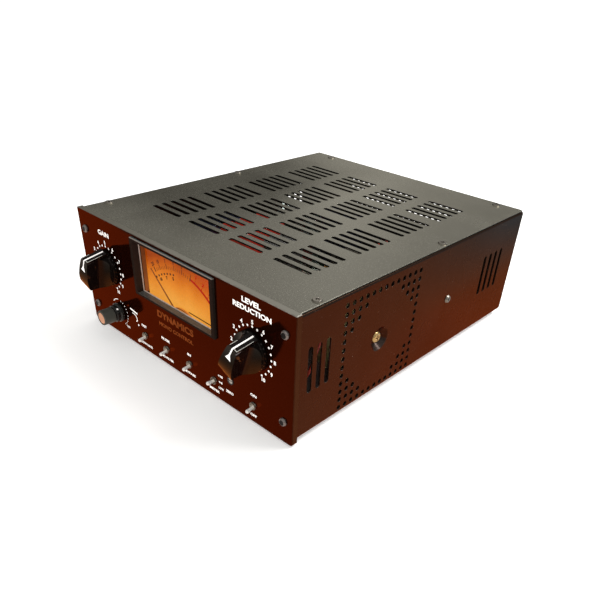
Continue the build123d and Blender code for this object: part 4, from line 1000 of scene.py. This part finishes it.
def small_parts():
    """Scattered resistors, every sixth part a disc on two legs. Returns bodies, leads, discs."""
    low, high = (to_mm(*corner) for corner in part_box("main_board"))
    top = high[2]
    bodies, leads, discs = Shape(), Shape(), Shape()
    placed = []
    tries = 0
    while len(placed) < PART_COUNT and tries < MOST_TRIES:
        tries += 1
        x = random.uniform(low[0] + 8, high[0] - 8)
        y = random.uniform(low[1] + 6, high[1] - 6)
        centre = place(x, y, top + 2.2)
        if (any(tree.find_nearest(centre, CLEARANCE)[0] is not None for tree in OBSTACLES)
                or any((centre - other).length < PART_GAP for other in placed)):
            continue
        placed.append(centre)
        along = Vector((1, 0, 0) if random.random() < 0.5 else (0, 1, 0))
        if len(placed) % 6 == 0:
            discs.turned((x, y, top + 3.4), (along.y, along.x, 0), DISC_PROFILE, sides=20)
            for aside in (-1.4, 1.4):
                foot = place(x + along.x * aside, y + along.y * aside, top + 0.1)
                leads.tube([foot, foot + Vector((0, 0, 0.0012))], radius=0.0003)
            continue
        half = RESISTOR_PROFILE[-1][1] / 2
        bodies.turned((x - half * along.x, y - half * along.y, top + 1.7), along,
                      RESISTOR_PROFILE, sides=14)
        for side in (-1, 1):
            end = place(x, y, top + 1.7) + along * 0.0030 * side
            knee = end + along * 0.0020 * side
            leads.tube(bend([end, end + along * 0.0014 * side, knee + Vector((0, 0, -0.0006)),
                             knee + Vector((0, 0, -0.0016))]), radius=0.00028)
    return bodies, leads, discs


def islands(mesh):
    """Lists of the points of each connected piece of a mesh."""
    mates = [[] for _ in mesh.vertices]
    for edge in mesh.edges:
        start, end = edge.vertices
        mates[start].append(end)
        mates[end].append(start)
    seen = set()
    for i in range(len(mates)):
        if i in seen:
            continue
        seen.add(i)
        pile, island = [i], []
        while pile:
            k = pile.pop()
            island.append(mesh.vertices[k].co)
            for mate in mates[k]:
                if mate not in seen:
                    seen.add(mate)
                    pile.append(mate)
        yield island


def can_tops():
    """Bright disc on top of each electrolytic can."""
    tops = Shape()
    for island in islands(NODES["electrolytic_capacitors"].data):
        low = [min(point[c] for point in island) for c in range(3)]
        high = [max(point[c] for point in island) for c in range(3)]
        wide = min(high[0] - low[0], high[1] - low[1])
        if wide > 0.004 and high[2] - low[2] > 0.006:
            centre = to_mm((low[0] + high[0]) / 2, (low[1] + high[1]) / 2, high[2])
            tops.turned(centre, (0, 0, 1), [(wide * 400, -0.1), (wide * 400, 0.05),
                                            (wide * 380, 0.12), (wide * 60, 0.10)], sides=28)
    tops.done("can_tops", CAN_TOP)


resistors, component_leads, disc_capacitors = small_parts()
can_tops()
resistors.done("resistors", RESISTOR, smooth=True)
component_leads.done("component_leads", LEAD, smooth=True)
disc_capacitors.done("disc_capacitors", DISC, smooth=True)


# ------------------------------------------------------------------------------ floor
def floor_material():
    """Pale floor that reflections see as a warm bench, bluer towards the back."""
    net = material_net("floor")
    tone = net.ramp(net.noise(3.0), [(0.3, (0.885, 0.885, 0.885)), (0.7, (0.915, 0.915, 0.915))])
    diffuse = net.add("BsdfDiffuse", {"Color": tone})
    lift = net.add("Emission", {"Color": (1, 1, 1), "Strength": 0.265})
    pale = net.add("AddShader", {0: diffuse, 1: lift})
    _, y, _ = net.axes()
    bench = net.ramp(net.noise(7.0), [(0.3, (0.62, 0.53, 0.48)), (0.7, (0.74, 0.64, 0.56))])
    colour = net.mix(net.span(y, over=(0.10, 0.34)), bench, (0.30, 0.55, 0.95))
    warm = net.add("Emission", {"Color": colour, "Strength": 1.0})
    mirrored = net.add("LightPath").outputs["Is Glossy Ray"]
    return net.out(net.add("MixShader", {0: mirrored, 1: pale, 2: warm}))


def add_floor():
    grid = bmesh.new()
    bmesh.ops.create_grid(grid, x_segments=8, y_segments=8, size=14.0)
    mesh = bpy.data.meshes.new("floor")
    grid.to_mesh(mesh)
    grid.free()
    mesh.materials.append(floor_material())
    floor = bpy.data.objects.new("floor", mesh)
    scene.collection.objects.link(floor)


# ------------------------------------------------------------------------------ world
# (height of the ray, colour) seen in reflections
SKY_RISE = ((0.0, (0.22, 0.205, 0.19)), (0.25, (0.33, 0.322, 0.305)), (0.31, (0.60, 0.59, 0.565)),
            (0.45, (0.72, 0.71, 0.69)), (1.0, (1.0, 1.0, 1.0)))
# (degrees round from +x, brightness) of the same sky
SKY_SWEEP = ((-180, 0.35), (-120, 0.55), (60, 0.62), (108, 0.38), (116, 0.48), (122, 0.68),
             (128, 1.08), (131, 1.10), (135, 0.90), (144, 0.62), (180, 0.40))


def add_world():
    """White to the camera, soft to diffuse rays, a shaped studio in reflections."""
    world = bpy.data.worlds.new("studio")
    scene.world = world
    net = Net(world)
    ray = net.split(net.coord["Generated"])
    rise = net.ramp(ray[2], SKY_RISE)
    turn = net.add("Math", {0: ray[1], 1: ray[0]}, operation="ARCTAN2").outputs[0]
    sweep = net.ramp(net.span(turn, over=(-pi, pi)),
                     [((degrees + 180) / 360, (value,) * 3) for degrees, value in SKY_SWEEP])
    sky = net.mix(1.0, rise, sweep, "MULTIPLY")
    # a dark screen stands low on the left
    left = net.span(turn, over=(radians(130.0), radians(135.5)),
                    interpolation_type="SMOOTHSTEP")
    low = net.span(ray[2], over=(0.335, 0.40), to=FALL, interpolation_type="SMOOTHSTEP")
    screen = net.add("Math", {0: left, 1: low}, operation="MULTIPLY")
    dim = net.mix(1.0, sky, (0.02, 0.02, 0.02), "MULTIPLY")
    mirror = net.add("Background", {0: net.mix(screen, sky, dim), 1: 1.0})
    soft = net.add("Background", {0: (1.0, 0.985, 0.96), 1: 0.95})
    white = net.add("Background", {0: (1, 1, 1), 1: 1.05})
    path = net.add("LightPath").outputs
    unseen = net.add("MixShader", {0: path["Is Glossy Ray"], 1: soft, 2: mirror})
    seen = net.add("MixShader", {0: path["Is Camera Ray"], 1: unseen, 2: white})
    net.out(seen, "OutputWorld")


# ------------------------------------------------------------------------------ light, camera
def add_key_light():
    """Softbox above the back right, aimed at the unit's middle."""
    spot, aim = Vector((0.55, 0.75, 1.15)), Vector((0.0, 0.0, 0.03))
    light = bpy.data.lights.new("key", "AREA")
    light.shape = "RECTANGLE"
    light.size, light.size_y = 0.9, 0.6
    light.energy = 16.0
    light.color = (1.0, 0.985, 0.96)
    key = bpy.data.objects.new("key", light)
    scene.collection.objects.link(key)
    key.location = spot
    key.rotation_mode = "QUATERNION"
    key.rotation_quaternion = (aim - spot).to_track_quat("-Z", "Y")


CAMERA_PLACE = (0.28844, -0.31186, 0.23380)
AZIMUTH = radians(41.29384)         # round to the right of straight in front
ELEVATION = radians(35.43346)
ROLL = radians(3.25637)


def add_camera():
    back = Vector((sin(AZIMUTH) * cos(ELEVATION), -cos(AZIMUTH) * cos(ELEVATION),
                   sin(ELEVATION)))
    level = Vector((cos(AZIMUTH), sin(AZIMUTH), 0.0))
    upright = back.cross(level)
    right = level * cos(ROLL) + upright * sin(ROLL)
    up = upright * cos(ROLL) - level * sin(ROLL)
    stance = Matrix((right, up, back)).transposed().to_4x4()
    stance.translation = CAMERA_PLACE
    data = bpy.data.cameras.new("camera")
    camera = bpy.data.objects.new("camera", data)
    scene.collection.objects.link(camera)
    camera.matrix_world = stance
    data.sensor_fit = "VERTICAL"
    data.sensor_height, data.sensor_width = 36.0, 26.0
    data.lens = 35.345
    data.clip_start, data.clip_end = 0.01, 60.0
    data.shift_x, data.shift_y = -0.01453, 0.14469
    scene.camera = camera


add_floor()
add_world()
add_key_light()
add_camera()
scene.view_settings.view_transform = "Standard"
